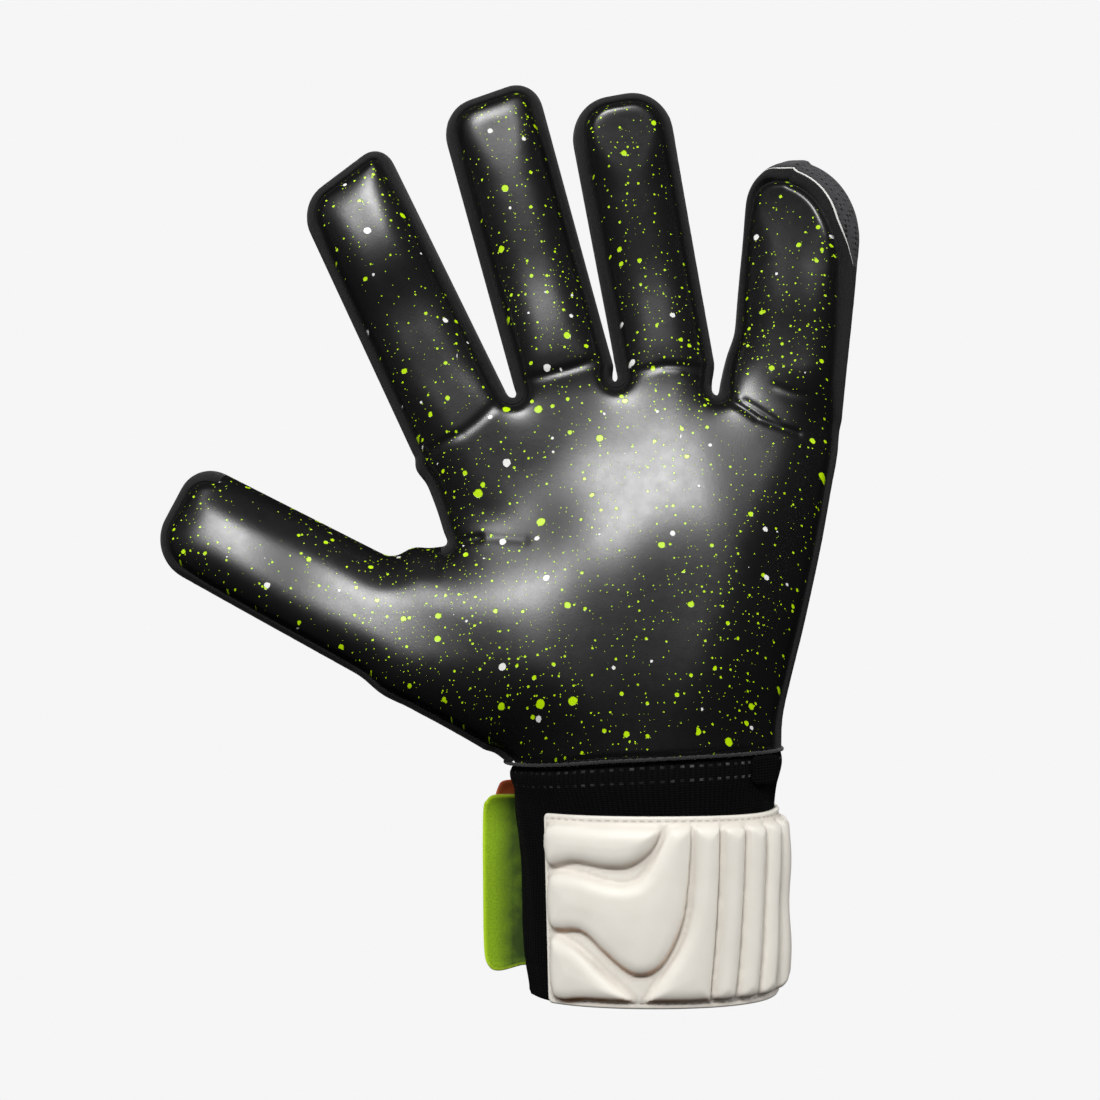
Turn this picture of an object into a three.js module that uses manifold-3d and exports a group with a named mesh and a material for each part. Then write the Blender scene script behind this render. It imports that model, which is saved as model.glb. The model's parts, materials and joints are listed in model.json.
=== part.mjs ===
// A left goalkeeper glove, standing fingers up with its palm facing -Y, in millimetres.
// The origin is the centre of the wrist opening, at the bottom rim of the elastic cuff.
// Each digit is a tube of padded panels around a hollow stall, cut at its base crease and its
// middle crease, so that it folds towards the palm about two hinges.
import * as THREE from "three";
import { mergeVertices } from "three/addons/utils/BufferGeometryUtils.js";
import Module from "manifold-3d";

const wasm = await Module();
wasm.setup();

// ---- driving dimensions -------------------------------------------------------------------

const GAP = 0.3; // between touching pieces
const SIDE_WALL = 3.1; // side gusset with its seam allowance
const LATEX = 6; // latex, foam and jersey of the palm side, bonded
const BACK = 5; // backhand foam, mesh and jersey, bonded
const LINING = 0.9;
const DIGIT_DEPTH = 12.5; // half of a digit's thickness
const TIP_RADIUS = 7;
const TIP_ROUND = 5; // how far the tip's panels round over
const PALM_SEAM = 6; // a digit's palm panel and back panel end this far from the middle
const BACK_SEAM = 7;
const WRIST_SEAM = 10; // and at the wrist the hand's two panels end this far from it
const PIVOT_Y = -2; // hinge lines lie a little to the palm side of the middle
const HINGE_SLIT = 0.9;

const CUFF = { height: 67.6, waist: 54, a: 35.6, b: 25, topA: 39.5, topB: 25.4, wall: 2.2 };
const STRAP = { bottom: 1, top: 54, a: 36.2, b: 28.6, thickness: 4.2, startAngle: -142, endAngle: 140 };
const STRAP_HINGE_ANGLE = 3; // the strap parts at its side, this far each side of +X
const PATCH = { thickness: 1, fromAngle: 60, toAngle: 120, bottom: 10, top: 46 };
const TAB = { outer: -49, inner: -32.6, y: 20.6, thickness: 2.2, bottom: 6.5, top: 54, radius: 4 };
const LABEL = { width: 14, height: 22, thickness: 0.6, bottom: 30 };
const TACK = { width: 9, height: 7, thickness: 0.9, angle: -38, z: 60 };

// knuckle: where the digit leaves the hand, as [x, z]. lean: degrees from upright towards the thumb
// side. tilt: how far its base crease turns out of square. roll: turn about its own length.
// lower and upper: lengths from base crease to middle crease to tip. flex and extend: hinge limits.
const DIGITS = [
  {
    name: "thumb", knuckle: [-60.8, 100.6], lean: 62.5, tilt: 23, roll: 0, lower: 44, upper: 43.5,
    halfWidth: 16.2, tipHalfWidth: 15, baseFlare: 10, flex: [40, 50], extend: [5, 0],
  },
  {
    name: "index", knuckle: [-54.7, 163.8], lean: 25.5, tilt: 0, roll: 0, lower: 38, upper: 46.5,
    halfWidth: 15.7, tipHalfWidth: 14.8, baseFlare: 0, flex: [60, 65], extend: [10, 0],
  },
  {
    name: "middle", knuckle: [-26.3, 179.2], lean: 13.8, tilt: 0, roll: 0, lower: 40, upper: 46,
    halfWidth: 14.6, tipHalfWidth: 14.3, baseFlare: 0, flex: [60, 65], extend: [10, 0],
  },
  {
    name: "ring", knuckle: [4.4, 180.5], lean: 10.2, tilt: 0, roll: 0, lower: 38, upper: 43,
    halfWidth: 14.2, tipHalfWidth: 14, baseFlare: 0, flex: [60, 65], extend: [10, 0],
  },
  {
    name: "little", knuckle: [40, 168], lean: -4.5, tilt: 0, roll: -4, lower: 32, upper: 39.5,
    halfWidth: 15.2, tipHalfWidth: 14, baseFlare: 0, flex: [60, 65], extend: [10, 0],
  },
];

// The hand's cross-sections from wrist to finger bases: height, left and right edge, half depth
// towards the palm and towards the back.
const HAND = [
  { z: 68, left: -41.5, right: 38.5, front: 25.5, back: 25.5 },
  { z: 80, left: -60.5, right: 38.6, front: 24.5, back: 24 },
  { z: 100, left: -62, right: 43.3, front: 22.5, back: 21 },
  { z: 120, left: -62, right: 47.6, front: 19.5, back: 18.5 },
  { z: 132, left: -62, right: 50.2, front: 18, back: 17 },
  { z: 145, left: -65, right: 52.6, front: 16, back: 15.5 },
  { z: 158, left: -70.5, right: 54.6, front: 14, back: 13.5 },
  { z: 172, left: -72, right: 55.5, front: DIGIT_DEPTH, back: DIGIT_DEPTH },
  { z: 190, left: -72, right: 55.5, front: DIGIT_DEPTH, back: DIGIT_DEPTH },
];
const THUMB_ROOT = { from: 2, to: -36, z: 104.8, halfHeight: 26.2, depth: 15.5 };

// ---- materials ----------------------------------------------------------------------------

function material(color, roughness) {
  return new THREE.MeshStandardMaterial({ color, roughness, metalness: 0 });
}

const MATERIALS = {
  latex: material(0x2a2a2b, 0.42),
  gusset: material(0x1c1c1d, 0.9),
  mesh: material(0x171718, 0.95),
  lining: material(0x222224, 0.95),
  elastic: material(0x121213, 0.92),
  strap: material(0xded8cc, 0.55),
  tab: material(0x9ccf00, 0.7),
  fastener: material(0x0f0f10, 0.9),
  label: material(0xd8d8d4, 0.8),
};

// ---- solids -------------------------------------------------------------------------------

const ALONG_X = new THREE.Matrix4().makeBasis(
  new THREE.Vector3(0, 1, 0), new THREE.Vector3(0, 0, 1), new THREE.Vector3(1, 0, 0));
const ALONG_MINUS_Y = new THREE.Matrix4().makeBasis(
  new THREE.Vector3(1, 0, 0), new THREE.Vector3(0, 0, 1), new THREE.Vector3(0, -1, 0));
const FAR = 60; // past every surface near a digit

function toSolid(geometry, matrix) {
  const plain = geometry.clone();
  plain.deleteAttribute("normal");
  plain.deleteAttribute("uv");
  if (matrix) plain.applyMatrix4(matrix);
  const merged = mergeVertices(plain, 1e-4);
  return new wasm.Manifold(new wasm.Mesh({
    numProp: 3,
    vertProperties: new Float32Array(merged.attributes.position.array),
    triVerts: new Uint32Array(merged.index.array),
  }));
}

function toGeometry(solid) {
  const mesh = solid.getMesh();
  const positions = new Float32Array(mesh.numVert * 3);
  for (let i = 0; i < mesh.numVert; i++) {
    positions.set(mesh.vertProperties.subarray(i * mesh.numProp, i * mesh.numProp + 3), i * 3);
  }
  const geometry = new THREE.BufferGeometry();
  geometry.setAttribute("position", new THREE.BufferAttribute(positions, 3));
  geometry.setIndex(new THREE.BufferAttribute(new Uint32Array(mesh.triVerts), 1));
  geometry.computeVertexNormals();
  return geometry;
}

function polygon(points) {
  return new THREE.Shape(points.map(([a, b]) => new THREE.Vector2(a, b)));
}

// A prism along X from (y, z) points, centred on x = 0.
function prismAlongX(points, length) {
  const geometry = new THREE.ExtrudeGeometry(polygon(points), { depth: length, bevelEnabled: false });
  return toSolid(geometry.translate(0, 0, -length / 2), ALONG_X);
}

// A prism along Y between two depths, from a shape in (x, z).
function prismAlongY(shape, fromY, toY) {
  const depth = toY - fromY;
  const geometry = new THREE.ExtrudeGeometry(shape, { depth, bevelEnabled: false, curveSegments: 6 });
  const place = new THREE.Matrix4().makeTranslation(0, toY, 0).multiply(ALONG_MINUS_Y);
  return toSolid(geometry, place);
}

function box(fromX, toX, fromY, toY, fromZ, toZ) {
  const geometry = new THREE.BoxGeometry(toX - fromX, toY - fromY, toZ - fromZ);
  return toSolid(geometry.translate((fromX + toX) / 2, (fromY + toY) / 2, (fromZ + toZ) / 2));
}

// A closed loft through rings of [x, y, z] points, all with the same number of points.
function loft(rings) {
  const count = rings[0].length;
  const positions = rings.flat(2);
  const index = [];
  for (let r = 0; r + 1 < rings.length; r++) {
    for (let i = 0; i < count; i++) {
      const a = r * count + i;
      const b = r * count + ((i + 1) % count);
      index.push(a, b, b + count, a, b + count, a + count);
    }
  }
  const last = (rings.length - 1) * count;
  for (let i = 1; i + 1 < count; i++) {
    index.push(0, i + 1, i, last, last + i, last + i + 1);
  }
  const geometry = new THREE.BufferGeometry();
  geometry.setAttribute("position", new THREE.BufferAttribute(new Float32Array(positions), 3));
  geometry.setIndex(index);
  return toSolid(geometry);
}

// A superellipse ring at height z, counterclockwise from above. power 2 is an ellipse.
function ring({ z, left, right, front, back }, power = 2.6, count = 28) {
  const middle = (left + right) / 2;
  const half = (right - left) / 2;
  const bulge = (v) => Math.sign(v) * Math.abs(v) ** (2 / power);
  return Array.from({ length: count }, (_, i) => {
    const t = (2 * Math.PI * i) / count;
    const s = bulge(Math.sin(t));
    return [middle + half * bulge(Math.cos(t)), s * (s < 0 ? front : back), z];
  });
}

function inset(section, side, front, back) {
  return {
    z: section.z,
    left: section.left + side,
    right: section.right - side,
    front: section.front - front,
    back: section.back - back,
  };
}

// ---- joints and digits --------------------------------------------------------------------

// What a hinge needs cleared on both of its sides: a wedge open to the palm side for flexing, one
// open to the back for extending, and a slit between them. In the hinge's own frame: X is its axis,
// Z runs along the digit, and the pivot is at z = 0, y = PIVOT_Y.
function hingeClearance(flex, extend, length) {
  const slope = (angle) => Math.tan(THREE.MathUtils.degToRad(angle / 2 + 0.6));
  const slit = HINGE_SLIT / 2;
  const front = slit + (FAR + PIVOT_Y) * slope(flex);
  const back = slit + (FAR - PIVOT_Y) * slope(extend);
  return prismAlongX([
    [-FAR, -front], [PIVOT_Y, -slit], [FAR, -back], [FAR, back], [PIVOT_Y, slit], [-FAR, front],
  ], length);
}

function digitMatrix(digit) {
  const [x, z] = digit.knuckle;
  const lean = new THREE.Matrix4().makeRotationY(THREE.MathUtils.degToRad(-digit.lean));
  const roll = new THREE.Matrix4().makeRotationZ(THREE.MathUtils.degToRad(digit.roll));
  return new THREE.Matrix4().makeTranslation(x, 0, z).multiply(lean).multiply(roll);
}

function tiltMatrix(digit) {
  return new THREE.Matrix4().makeRotationY(THREE.MathUtils.degToRad(-digit.tilt));
}

function moved(solid, matrix) {
  return solid.transform(matrix.elements);
}

// The digit's outline in (x, z), drawn in by `by`, from below its base crease to its rounded tip.
function digitOutline(digit, by) {
  const tip = digit.lower + digit.upper - by;
  const wide = digit.halfWidth - by;
  const narrow = digit.tipHalfWidth - by;
  const radius = Math.max(TIP_RADIUS - by, 2.5);
  const shape = new THREE.Shape();
  shape.moveTo(-wide - digit.baseFlare / 4, -26);
  shape.lineTo(wide + digit.baseFlare, -26);
  shape.lineTo(wide + digit.baseFlare, digit.baseFlare > 0 ? 13 : 0);
  if (digit.baseFlare > 0) shape.quadraticCurveTo(wide, 20, wide, 34);
  shape.lineTo(narrow, tip - radius);
  shape.absarc(narrow - radius, tip - radius, radius, 0, Math.PI / 2);
  shape.absarc(-narrow + radius, tip - radius, radius, Math.PI / 2, Math.PI);
  shape.closePath();
  return shape;
}

// The digit's body with its long edges and its tip rounded over, drawn in from each side.
function digitBody(digit, side, front, back) {
  const tip = digit.lower + digit.upper - side;
  const at = (z, halfWidth, less) => ring({
    z,
    left: side - halfWidth - (z < 0 ? digit.baseFlare / 4 : 0) + less,
    right: halfWidth - side + (z < 0 ? digit.baseFlare : 0) - less,
    front: DIGIT_DEPTH - front - less,
    back: DIGIT_DEPTH - back - less,
  }, 4.5, 32);
  const rings = [
    at(-26, digit.halfWidth, 0),
    at(digit.baseFlare > 0 ? -1 : 0, digit.halfWidth, 0),
  ];
  if (digit.baseFlare > 0) rings.push(at(30, digit.halfWidth, 0));
  rings.push(
    at(tip - TIP_ROUND, digit.tipHalfWidth, 0),
    at(tip - TIP_ROUND * 0.35, digit.tipHalfWidth, TIP_ROUND * 0.25),
    at(tip, digit.tipHalfWidth, TIP_ROUND * 0.75),
  );
  return loft(rings);
}

function halfSpaceAbove(z) {
  return box(-FAR, FAR, -FAR, FAR, z, 3 * FAR);
}

// Every panel of one digit in the digit's own frame: {node suffix: {solid, material}}.
function digitPanels(digit) {
  const shell = digitBody(digit, 0, 0, 0).subtract(digitBody(digit, SIDE_WALL + GAP, LATEX, BACK));
  const core = prismAlongY(digitOutline(digit, SIDE_WALL + GAP), -FAR, FAR);
  const frame = shell.subtract(prismAlongY(digitOutline(digit, SIDE_WALL), -FAR, FAR));
  const panel = shell.intersect(core);
  const latex = panel.intersect(box(-FAR, FAR, -FAR, -PALM_SEAM, -FAR, 3 * FAR));
  const back = panel.intersect(box(-FAR, FAR, BACK_SEAM, FAR, -FAR, 3 * FAR));

  const tilted = (solid) => moved(solid, tiltMatrix(digit));
  const [baseFlex, middleFlex] = digit.flex;
  const [baseExtend, middleExtend] = digit.extend;
  const baseClearance = tilted(hingeClearance(baseFlex, baseExtend, 2 * FAR));
  const middleClearance = hingeClearance(middleFlex, middleExtend, 2 * FAR).translate([0, 0, digit.lower]);
  const aboveBase = tilted(halfSpaceAbove(0));
  const aboveMiddle = halfSpaceAbove(digit.lower);
  const between = aboveBase.subtract(aboveMiddle).subtract(baseClearance).subtract(middleClearance);
  const lower = (solid) => solid.intersect(between);
  const upper = (solid) => solid.intersect(aboveMiddle).subtract(middleClearance);
  const innerHalf = box(-FAR, 0, -FAR, FAR, -FAR, 3 * FAR);

  const lowerFrame = lower(frame);
  return {
    latex_lower: { solid: lower(latex), material: "latex" },
    latex_upper: { solid: upper(latex), material: "latex" },
    back_lower: { solid: lower(back), material: "mesh" },
    back_upper: { solid: upper(back), material: "mesh" },
    gusset_lower_inner: { solid: lowerFrame.intersect(innerHalf), material: "gusset" },
    gusset_lower_outer: { solid: lowerFrame.subtract(innerHalf), material: "gusset" },
    gusset_upper: { solid: upper(frame), material: "gusset" },
  };
}

// ---- the hand -----------------------------------------------------------------------------

// A point of a digit's base crease in the hand's (x, z), `across` from its middle.
function basePoint(digit, across, along) {
  const point = new THREE.Vector3(across, 0, 0).applyMatrix4(tiltMatrix(digit));
  point.z += along;
  const bare = { ...digit, roll: 0 };
  point.applyMatrix4(digitMatrix(bare));
  return [point.x, point.z];
}

// The hand's outline in (x, z): wrist, thumb crease, web, the finger creases and the outer edge.
// by draws in only its free edges.
function handOutline(by) {
  const [thumb, index, middle, fourth, little] = DIGITS;
  const below = -GAP;
  const crease = (digit, left, right) => [basePoint(digit, -left, below), basePoint(digit, right, below)];
  return polygon([
    [38.4 - by, 67.9], [38 - by, 79.6], [41.2 - by, 92.7], [44.5 - by, 106], [47.4 - by, 119],
    [50.1 - by, 132], [52.5 - by, 146],
    ...crease(little, 15.4, 15.4 - by).reverse(),
    [20.6, 172],
    ...crease(fourth, 14.3, 14.3).reverse(),
    [-11.2, 176.5],
    ...crease(middle, 14.4, 14.6).reverse(),
    [-40.9, 172],
    ...crease(index, 15.9 - by, 15.2).reverse(),
    [-64.2 + by, 145], [-60.6 + by, 131.6 + by * 0.3],
    ...crease(thumb, 22.3 - by, 30.3 - by).reverse(),
    [-52.5 + by * 0.6, 74 + by], [-43 + by * 0.6, 67.9], [-40.6 + by, 67.9],
  ]);
}

function handBody(side, front, back) {
  const body = loft(HAND.map((section) => ring(inset(section, side, front, back))));
  const { from, to, z, halfHeight, depth } = THUMB_ROOT;
  const root = loft([to, from].map((along) => ring({
    z: along, left: -halfHeight + side, right: halfHeight - side, front: depth - front, back: depth - back,
  }, 3.4)));
  const turn = new THREE.Matrix4().makeRotationY(-Math.PI / 2 + THREE.MathUtils.degToRad(4.5));
  const place = new THREE.Matrix4().makeTranslation(DIGITS[0].knuckle[0], 0, z).multiply(turn);
  return body.add(moved(root, place));
}

function largest(solid) {
  return solid.decompose().reduce((a, b) => (a.volume() > b.volume() ? a : b));
}

function handPanels() {
  const outer = handBody(0, 0, 0);
  const inner = handBody(SIDE_WALL + GAP, LATEX, BACK);
  const liningOuter = handBody(SIDE_WALL + 2 * GAP, LATEX + GAP, BACK + GAP);
  const liningInner = handBody(SIDE_WALL + 2 * GAP + LINING, LATEX + GAP + LINING, BACK + GAP + LINING);
  const clear = DIGITS.map((digit) => {
    const length = 2 * digit.halfWidth + 2 * digit.baseFlare + 6;
    const wedge = hingeClearance(digit.flex[0], digit.extend[0], length);
    return moved(moved(wedge, tiltMatrix(digit)), digitMatrix(digit));
  });
  const cleared = (solid) => clear.reduce((left, wedge) => left.subtract(wedge), solid);
  const outline = prismAlongY(handOutline(0), -FAR, FAR);
  const shell = cleared(outer.subtract(inner).intersect(outline));
  const core = shell.intersect(prismAlongY(handOutline(SIDE_WALL + GAP), -FAR, FAR));
  const strips = shell.subtract(prismAlongY(handOutline(SIDE_WALL), -FAR, FAR));
  const side = (sign, seam) => prismAlongX([
    [sign * FAR, 0], [sign * FAR, 4 * FAR], [sign * seam, 4 * FAR], [sign * seam, 172],
    [sign * WRIST_SEAM, 60], [sign * WRIST_SEAM, 0],
  ], 4 * FAR);
  const front = side(-1, PALM_SEAM);
  const rear = side(1, BACK_SEAM);
  const lining = cleared(liningOuter.subtract(liningInner)
    .intersect(prismAlongY(handOutline(SIDE_WALL + 2 * GAP), -FAR, FAR)));
  const outerSide = box(25, 2 * FAR, -FAR, FAR, 0, 162);
  const indexSide = box(-80, -55, -FAR, FAR, 133, 160);
  const thumbSide = box(-80, -38, -FAR, FAR, 60, 82);
  return {
    palm_latex: { solid: largest(core.intersect(front)), material: "latex" },
    backhand_panel: { solid: largest(core.intersect(rear)), material: "mesh" },
    palm_lining: { solid: largest(lining.intersect(front)), material: "lining" },
    backhand_lining: { solid: largest(lining.intersect(rear)), material: "lining" },
    outer_side_gusset: { solid: largest(strips.intersect(outerSide)), material: "gusset" },
    index_side_gusset: { solid: largest(strips.intersect(indexSide)), material: "gusset" },
    thumb_side_gusset: { solid: largest(strips.intersect(thumbSide)), material: "gusset" },
  };
}

// ---- cuff, strap and tab --------------------------------------------------------------------

function ellipsePoint(a, b, degrees) {
  const t = THREE.MathUtils.degToRad(degrees);
  return [a * Math.cos(t), b * Math.sin(t)];
}

// An upright band that follows an ellipse between two angles, from inner semi-axes a and b.
function band({ a, b, thickness, fromAngle, toAngle, bottom, top }, steps = 28) {
  const step = (toAngle - fromAngle) / steps;
  const angles = Array.from({ length: steps + 1 }, (_, i) => fromAngle + step * i);
  const outside = angles.map((angle) => ellipsePoint(a + thickness, b + thickness, angle));
  const inside = angles.map((angle) => ellipsePoint(a, b, angle)).reverse();
  const shape = polygon([...outside, ...inside]);
  const geometry = new THREE.ExtrudeGeometry(shape, { depth: top - bottom, bevelEnabled: false });
  return toSolid(geometry.translate(0, 0, bottom));
}

function cuffTube() {
  const { height, waist, a, b, topA, topB, wall } = CUFF;
  const tube = (less, from, to) => loft([
    [from, a, b], [waist, a, b], [to, topA, topB],
  ].map(([z, x, y]) => (
    ring({ z, left: less - x, right: x - less, front: y - less, back: y - less }, 2, 40)
  )));
  return tube(0, 0, height).subtract(tube(wall, -1, height + 1));
}

function tabPlate() {
  const { outer, inner, y, thickness, bottom, top, radius } = TAB;
  const shape = new THREE.Shape();
  shape.moveTo(inner, top);
  shape.lineTo(outer + radius, top);
  shape.absarc(outer + radius, top - radius, radius, Math.PI / 2, Math.PI);
  shape.absarc(outer + radius, bottom + radius, radius, Math.PI, 1.5 * Math.PI);
  shape.lineTo(inner, bottom + 3);
  shape.closePath();
  return prismAlongY(shape, y, y + thickness);
}

// A small plate lying against the cuff at an angle round it, standing off by `off`.
function cuffPlate({ width, height, thickness }, degrees, z, off) {
  const [x, y] = ellipsePoint(CUFF.a + off, CUFF.b + off, degrees);
  const [nx, ny] = [x / CUFF.a ** 2, y / CUFF.b ** 2];
  const plate = toSolid(new THREE.BoxGeometry(width, thickness, height));
  const turn = new THREE.Matrix4().makeRotationZ(Math.atan2(ny, nx) - Math.PI / 2);
  return moved(plate, new THREE.Matrix4().makeTranslation(x, y, z).multiply(turn));
}

function wristPieces() {
  const strap = (fromAngle, toAngle) => band({ ...STRAP, fromAngle, toAngle });
  const loop = { a: CUFF.a + GAP, b: CUFF.b + GAP, ...PATCH };
  const inside = GAP + PATCH.thickness;
  const hook = { ...PATCH, a: STRAP.a - inside, b: STRAP.b - inside };
  const labelOff = -CUFF.wall - GAP - LABEL.thickness;
  return {
    elastic_cuff: { solid: cuffTube(), material: "elastic" },
    wrist_strap_front: { solid: strap(STRAP.startAngle, -STRAP_HINGE_ANGLE), material: "strap" },
    wrist_strap_back: { solid: strap(STRAP_HINGE_ANGLE, STRAP.endAngle), material: "strap" },
    cuff_loop_patch: { solid: band(loop, 12), material: "fastener" },
    strap_hook_patch: { solid: band(hook, 12), material: "fastener" },
    strap_pull_tab: { solid: tabPlate(), material: "tab" },
    cuff_bar_tack_tab: { solid: cuffPlate(TACK, TACK.angle, TACK.z, 4.2), material: "elastic" },
    size_label: { solid: cuffPlate(LABEL, 90, LABEL.bottom, labelOff), material: "label" },
  };
}

// ---- assembly -------------------------------------------------------------------------------

function addPieces(group, pieces, prefix = "") {
  for (const [name, { solid, material: slot }] of Object.entries(pieces)) {
    const mesh = new THREE.Mesh(toGeometry(solid), MATERIALS[slot]);
    mesh.name = prefix + name;
    group.add(mesh);
  }
}

const glove = new THREE.Group();
addPieces(glove, handPanels());
addPieces(glove, wristPieces());
for (const digit of DIGITS) {
  const group = new THREE.Group();
  group.applyMatrix4(digitMatrix(digit));
  addPieces(group, digitPanels(digit), `${digit.name}_`);
  glove.add(group);
}

export default glove;
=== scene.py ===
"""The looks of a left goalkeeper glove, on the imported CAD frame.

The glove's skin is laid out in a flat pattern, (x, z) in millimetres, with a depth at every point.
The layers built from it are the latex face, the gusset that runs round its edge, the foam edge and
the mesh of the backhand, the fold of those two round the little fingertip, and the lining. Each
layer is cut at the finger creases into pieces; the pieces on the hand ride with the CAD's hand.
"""

import json
import math

import bpy
import numpy as np
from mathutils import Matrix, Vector, kdtree


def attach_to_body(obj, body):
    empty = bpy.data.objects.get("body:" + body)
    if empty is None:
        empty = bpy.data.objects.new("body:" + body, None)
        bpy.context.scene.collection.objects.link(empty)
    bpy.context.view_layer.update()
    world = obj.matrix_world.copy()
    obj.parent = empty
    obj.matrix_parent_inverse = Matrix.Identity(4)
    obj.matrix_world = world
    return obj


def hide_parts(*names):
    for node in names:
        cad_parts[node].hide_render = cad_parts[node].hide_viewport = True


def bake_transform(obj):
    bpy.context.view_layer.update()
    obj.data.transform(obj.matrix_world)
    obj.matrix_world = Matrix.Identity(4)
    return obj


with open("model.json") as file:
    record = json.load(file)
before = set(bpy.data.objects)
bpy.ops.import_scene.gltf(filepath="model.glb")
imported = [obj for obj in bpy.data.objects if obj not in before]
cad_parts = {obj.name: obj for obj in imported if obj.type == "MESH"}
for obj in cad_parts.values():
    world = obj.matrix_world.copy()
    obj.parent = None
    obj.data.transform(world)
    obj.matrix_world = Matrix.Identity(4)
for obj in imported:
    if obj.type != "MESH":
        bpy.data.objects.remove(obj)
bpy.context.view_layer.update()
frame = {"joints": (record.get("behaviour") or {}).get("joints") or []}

MM = 0.001
GRID = 0.65  # spacing of the pattern's grid

# ---- driving dimensions, in millimetres ------------------------------------------------------

PIVOT_Y = -2.0  # the hinge lines' depth
EDGE_POWER = 2.35  # how square the rounding of an edge is: 2 is an ellipse
WRIST_Z = 67.4  # the palm's bottom seam on the thumb's side; it climbs towards the other side
SEAM_FRONT = 2.7  # from the outline to the latex seam
SEAM_BACK = 4.0
BACK_RAISE = 1.7  # the backhand's foam stands this far out of its seam
WRIST_CLIMB = [(-42, 0), (-10, 2.4), (38, 3.9)]  # how far the seam has climbed at each x

# Half widths and sideways shifts at the base and at the tip, how far the tip reaches, its two
# corner radii and its slant, and the length of the bend at the base crease.
DIGITS = {
    "thumb": dict(half=(17.6, 15.9), shift=(-0.9, -0.2), reach=88.9, corners=(12.5, 9), slant=0, bend=14),
    "index": dict(half=(16.2, 15.2), shift=(0.2, 0.2), reach=82.9, corners=(8.5, 7), slant=0.2, bend=13),
    "middle": dict(half=(14.8, 14.9), shift=(1.2, -1.1), reach=85.4, corners=(9.5, 8.5), slant=0.1, bend=13),
    "ring": dict(half=(14.2, 14.6), shift=(0.5, -0.3), reach=81.0, corners=(11.5, 12), slant=0, bend=13),
    "little": dict(half=(16.4, 17.0), shift=(-0.4, -0.9), reach=72.4, corners=(12, 24), slant=0, bend=11),
}
# Each digit's padding: how far it swells near its base and near its tip, how steeply it leaves the
# palm towards the viewer, how far its tip curls further, and how flat its tip is.
PADDING = {
    "thumb": dict(swell=(1.4, 1.4), lean=0.0, curl=0.0, flat=0.0),
    "index": dict(swell=(0.1, 2.5), lean=0.05, curl=0.0, flat=0.1),
    "middle": dict(swell=(1.7, 1.0), lean=0.0, curl=1.5, flat=0.3),
    "ring": dict(swell=(0.8, 0.4), lean=0.06, curl=3.0, flat=0.5),
    "little": dict(swell=(0.3, 0.2), lean=0.16, curl=3.0, flat=0.5),
}
THUMB_TAPER = 0.05
THUMB_TILT = 0.25  # how steeply the thumb's face leans towards the index finger
# Each base crease, left end and right end in (x, z).
CREASES = {
    "thumb": ((-60.5, 79.0), (-56.5, 131.0)),
    "index": ((-67.3, 155.0), (-42.4, 172.3)),
    "middle": ((-41.0, 177.0), (-13.7, 180.5)),
    "ring": ((-11.1, 179.4), (17.0, 181.2)),
    "little": ((21.5, 172.6), (54.5, 163.5)),
}
WEBS = ((-42.5, 173.5), (-12.0, 178.5), (20.0, 173.5))  # where the fingers part
LITTLE_ROLL = (math.radians(-12), math.radians(-27))  # at its base and its tip
LITTLE_THINNING = 0.38  # how much thinner it gets towards its tip
LITTLE_SIDE = 18  # past this x only the little finger reaches so far up

# The hand without its digits, counterclockwise from the wrist: free edges and, between the
# digits, points inside the fingers.
HAND_OUTLINE = [
    (38.6, 20), (38.6, 62), (38.4, 72), (38.8, 81), (41.4, 93), (44.6, 106), (47.5, 119), (50.2, 132),
    (52.7, 146), (55.0, 160), (54.0, 172), (44, 186), (31, 197), (26.6, 195), (23.1, 187.8),
    (20.9, 179.5), (19.7, 174), (17.4, 176), (4.0, 184), (-10.0, 178.5),
    (-14.5, 178.5), (-27.0, 184), (-38.5, 174.5), (-42.5, 173.5), (-55.0, 170), (-68.4, 156), (-65.0, 148),
    (-62.3, 141), (-60.3, 134.5), (-59.2, 130.9), (-64, 129.9), (-72, 128.5), (-82, 112), (-80, 91),
    (-69.3, 84.4), (-60.3, 79.6), (-52.7, 75.1), (-46, 70.6), (-41.2, 66), (-39.6, 58), (-39.6, 20),
]

# ---- small helpers ---------------------------------------------------------------------------


def smooth(low, high, value):
    t = np.clip((value - low) / (high - low), 0, 1)
    return t * t * (3 - 2 * t)


def between(ends, share):
    return ends[0] + (ends[1] - ends[0]) * share


def bump(value, centre, width):
    return np.exp(-(((value - centre) / width) ** 2))


def curve(value, knots):
    """A smooth curve through (place, height) knots, level at both ends."""
    places, heights = np.array(knots, float).T
    slopes = np.gradient(heights, places)
    slopes[0] = slopes[-1] = 0
    value = np.clip(value, places[0], places[-1])
    i = np.clip(np.searchsorted(places, value, side="right") - 1, 0, len(places) - 2)
    width = places[i + 1] - places[i]
    t = (value - places[i]) / width
    return (
        heights[i] * (1 + 2 * t) * (1 - t) ** 2
        + heights[i + 1] * t * t * (3 - 2 * t)
        + width * (slopes[i] * t * (1 - t) ** 2 - slopes[i + 1] * t * t * (1 - t))
    )


def rise(t, power):
    """How an edge rounds up from 0 at the outline to 1 inside."""
    return (1 - (1 - np.clip(t, 0, 1)) ** power) ** (1 / power)


def segment_distance(points, a, b):
    a, b = np.array(a, float), np.array(b, float)
    along = b - a
    t = np.clip((points - a) @ along / (along @ along), 0, 1)
    return np.linalg.norm(points - a - t[:, None] * along, axis=1)


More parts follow.
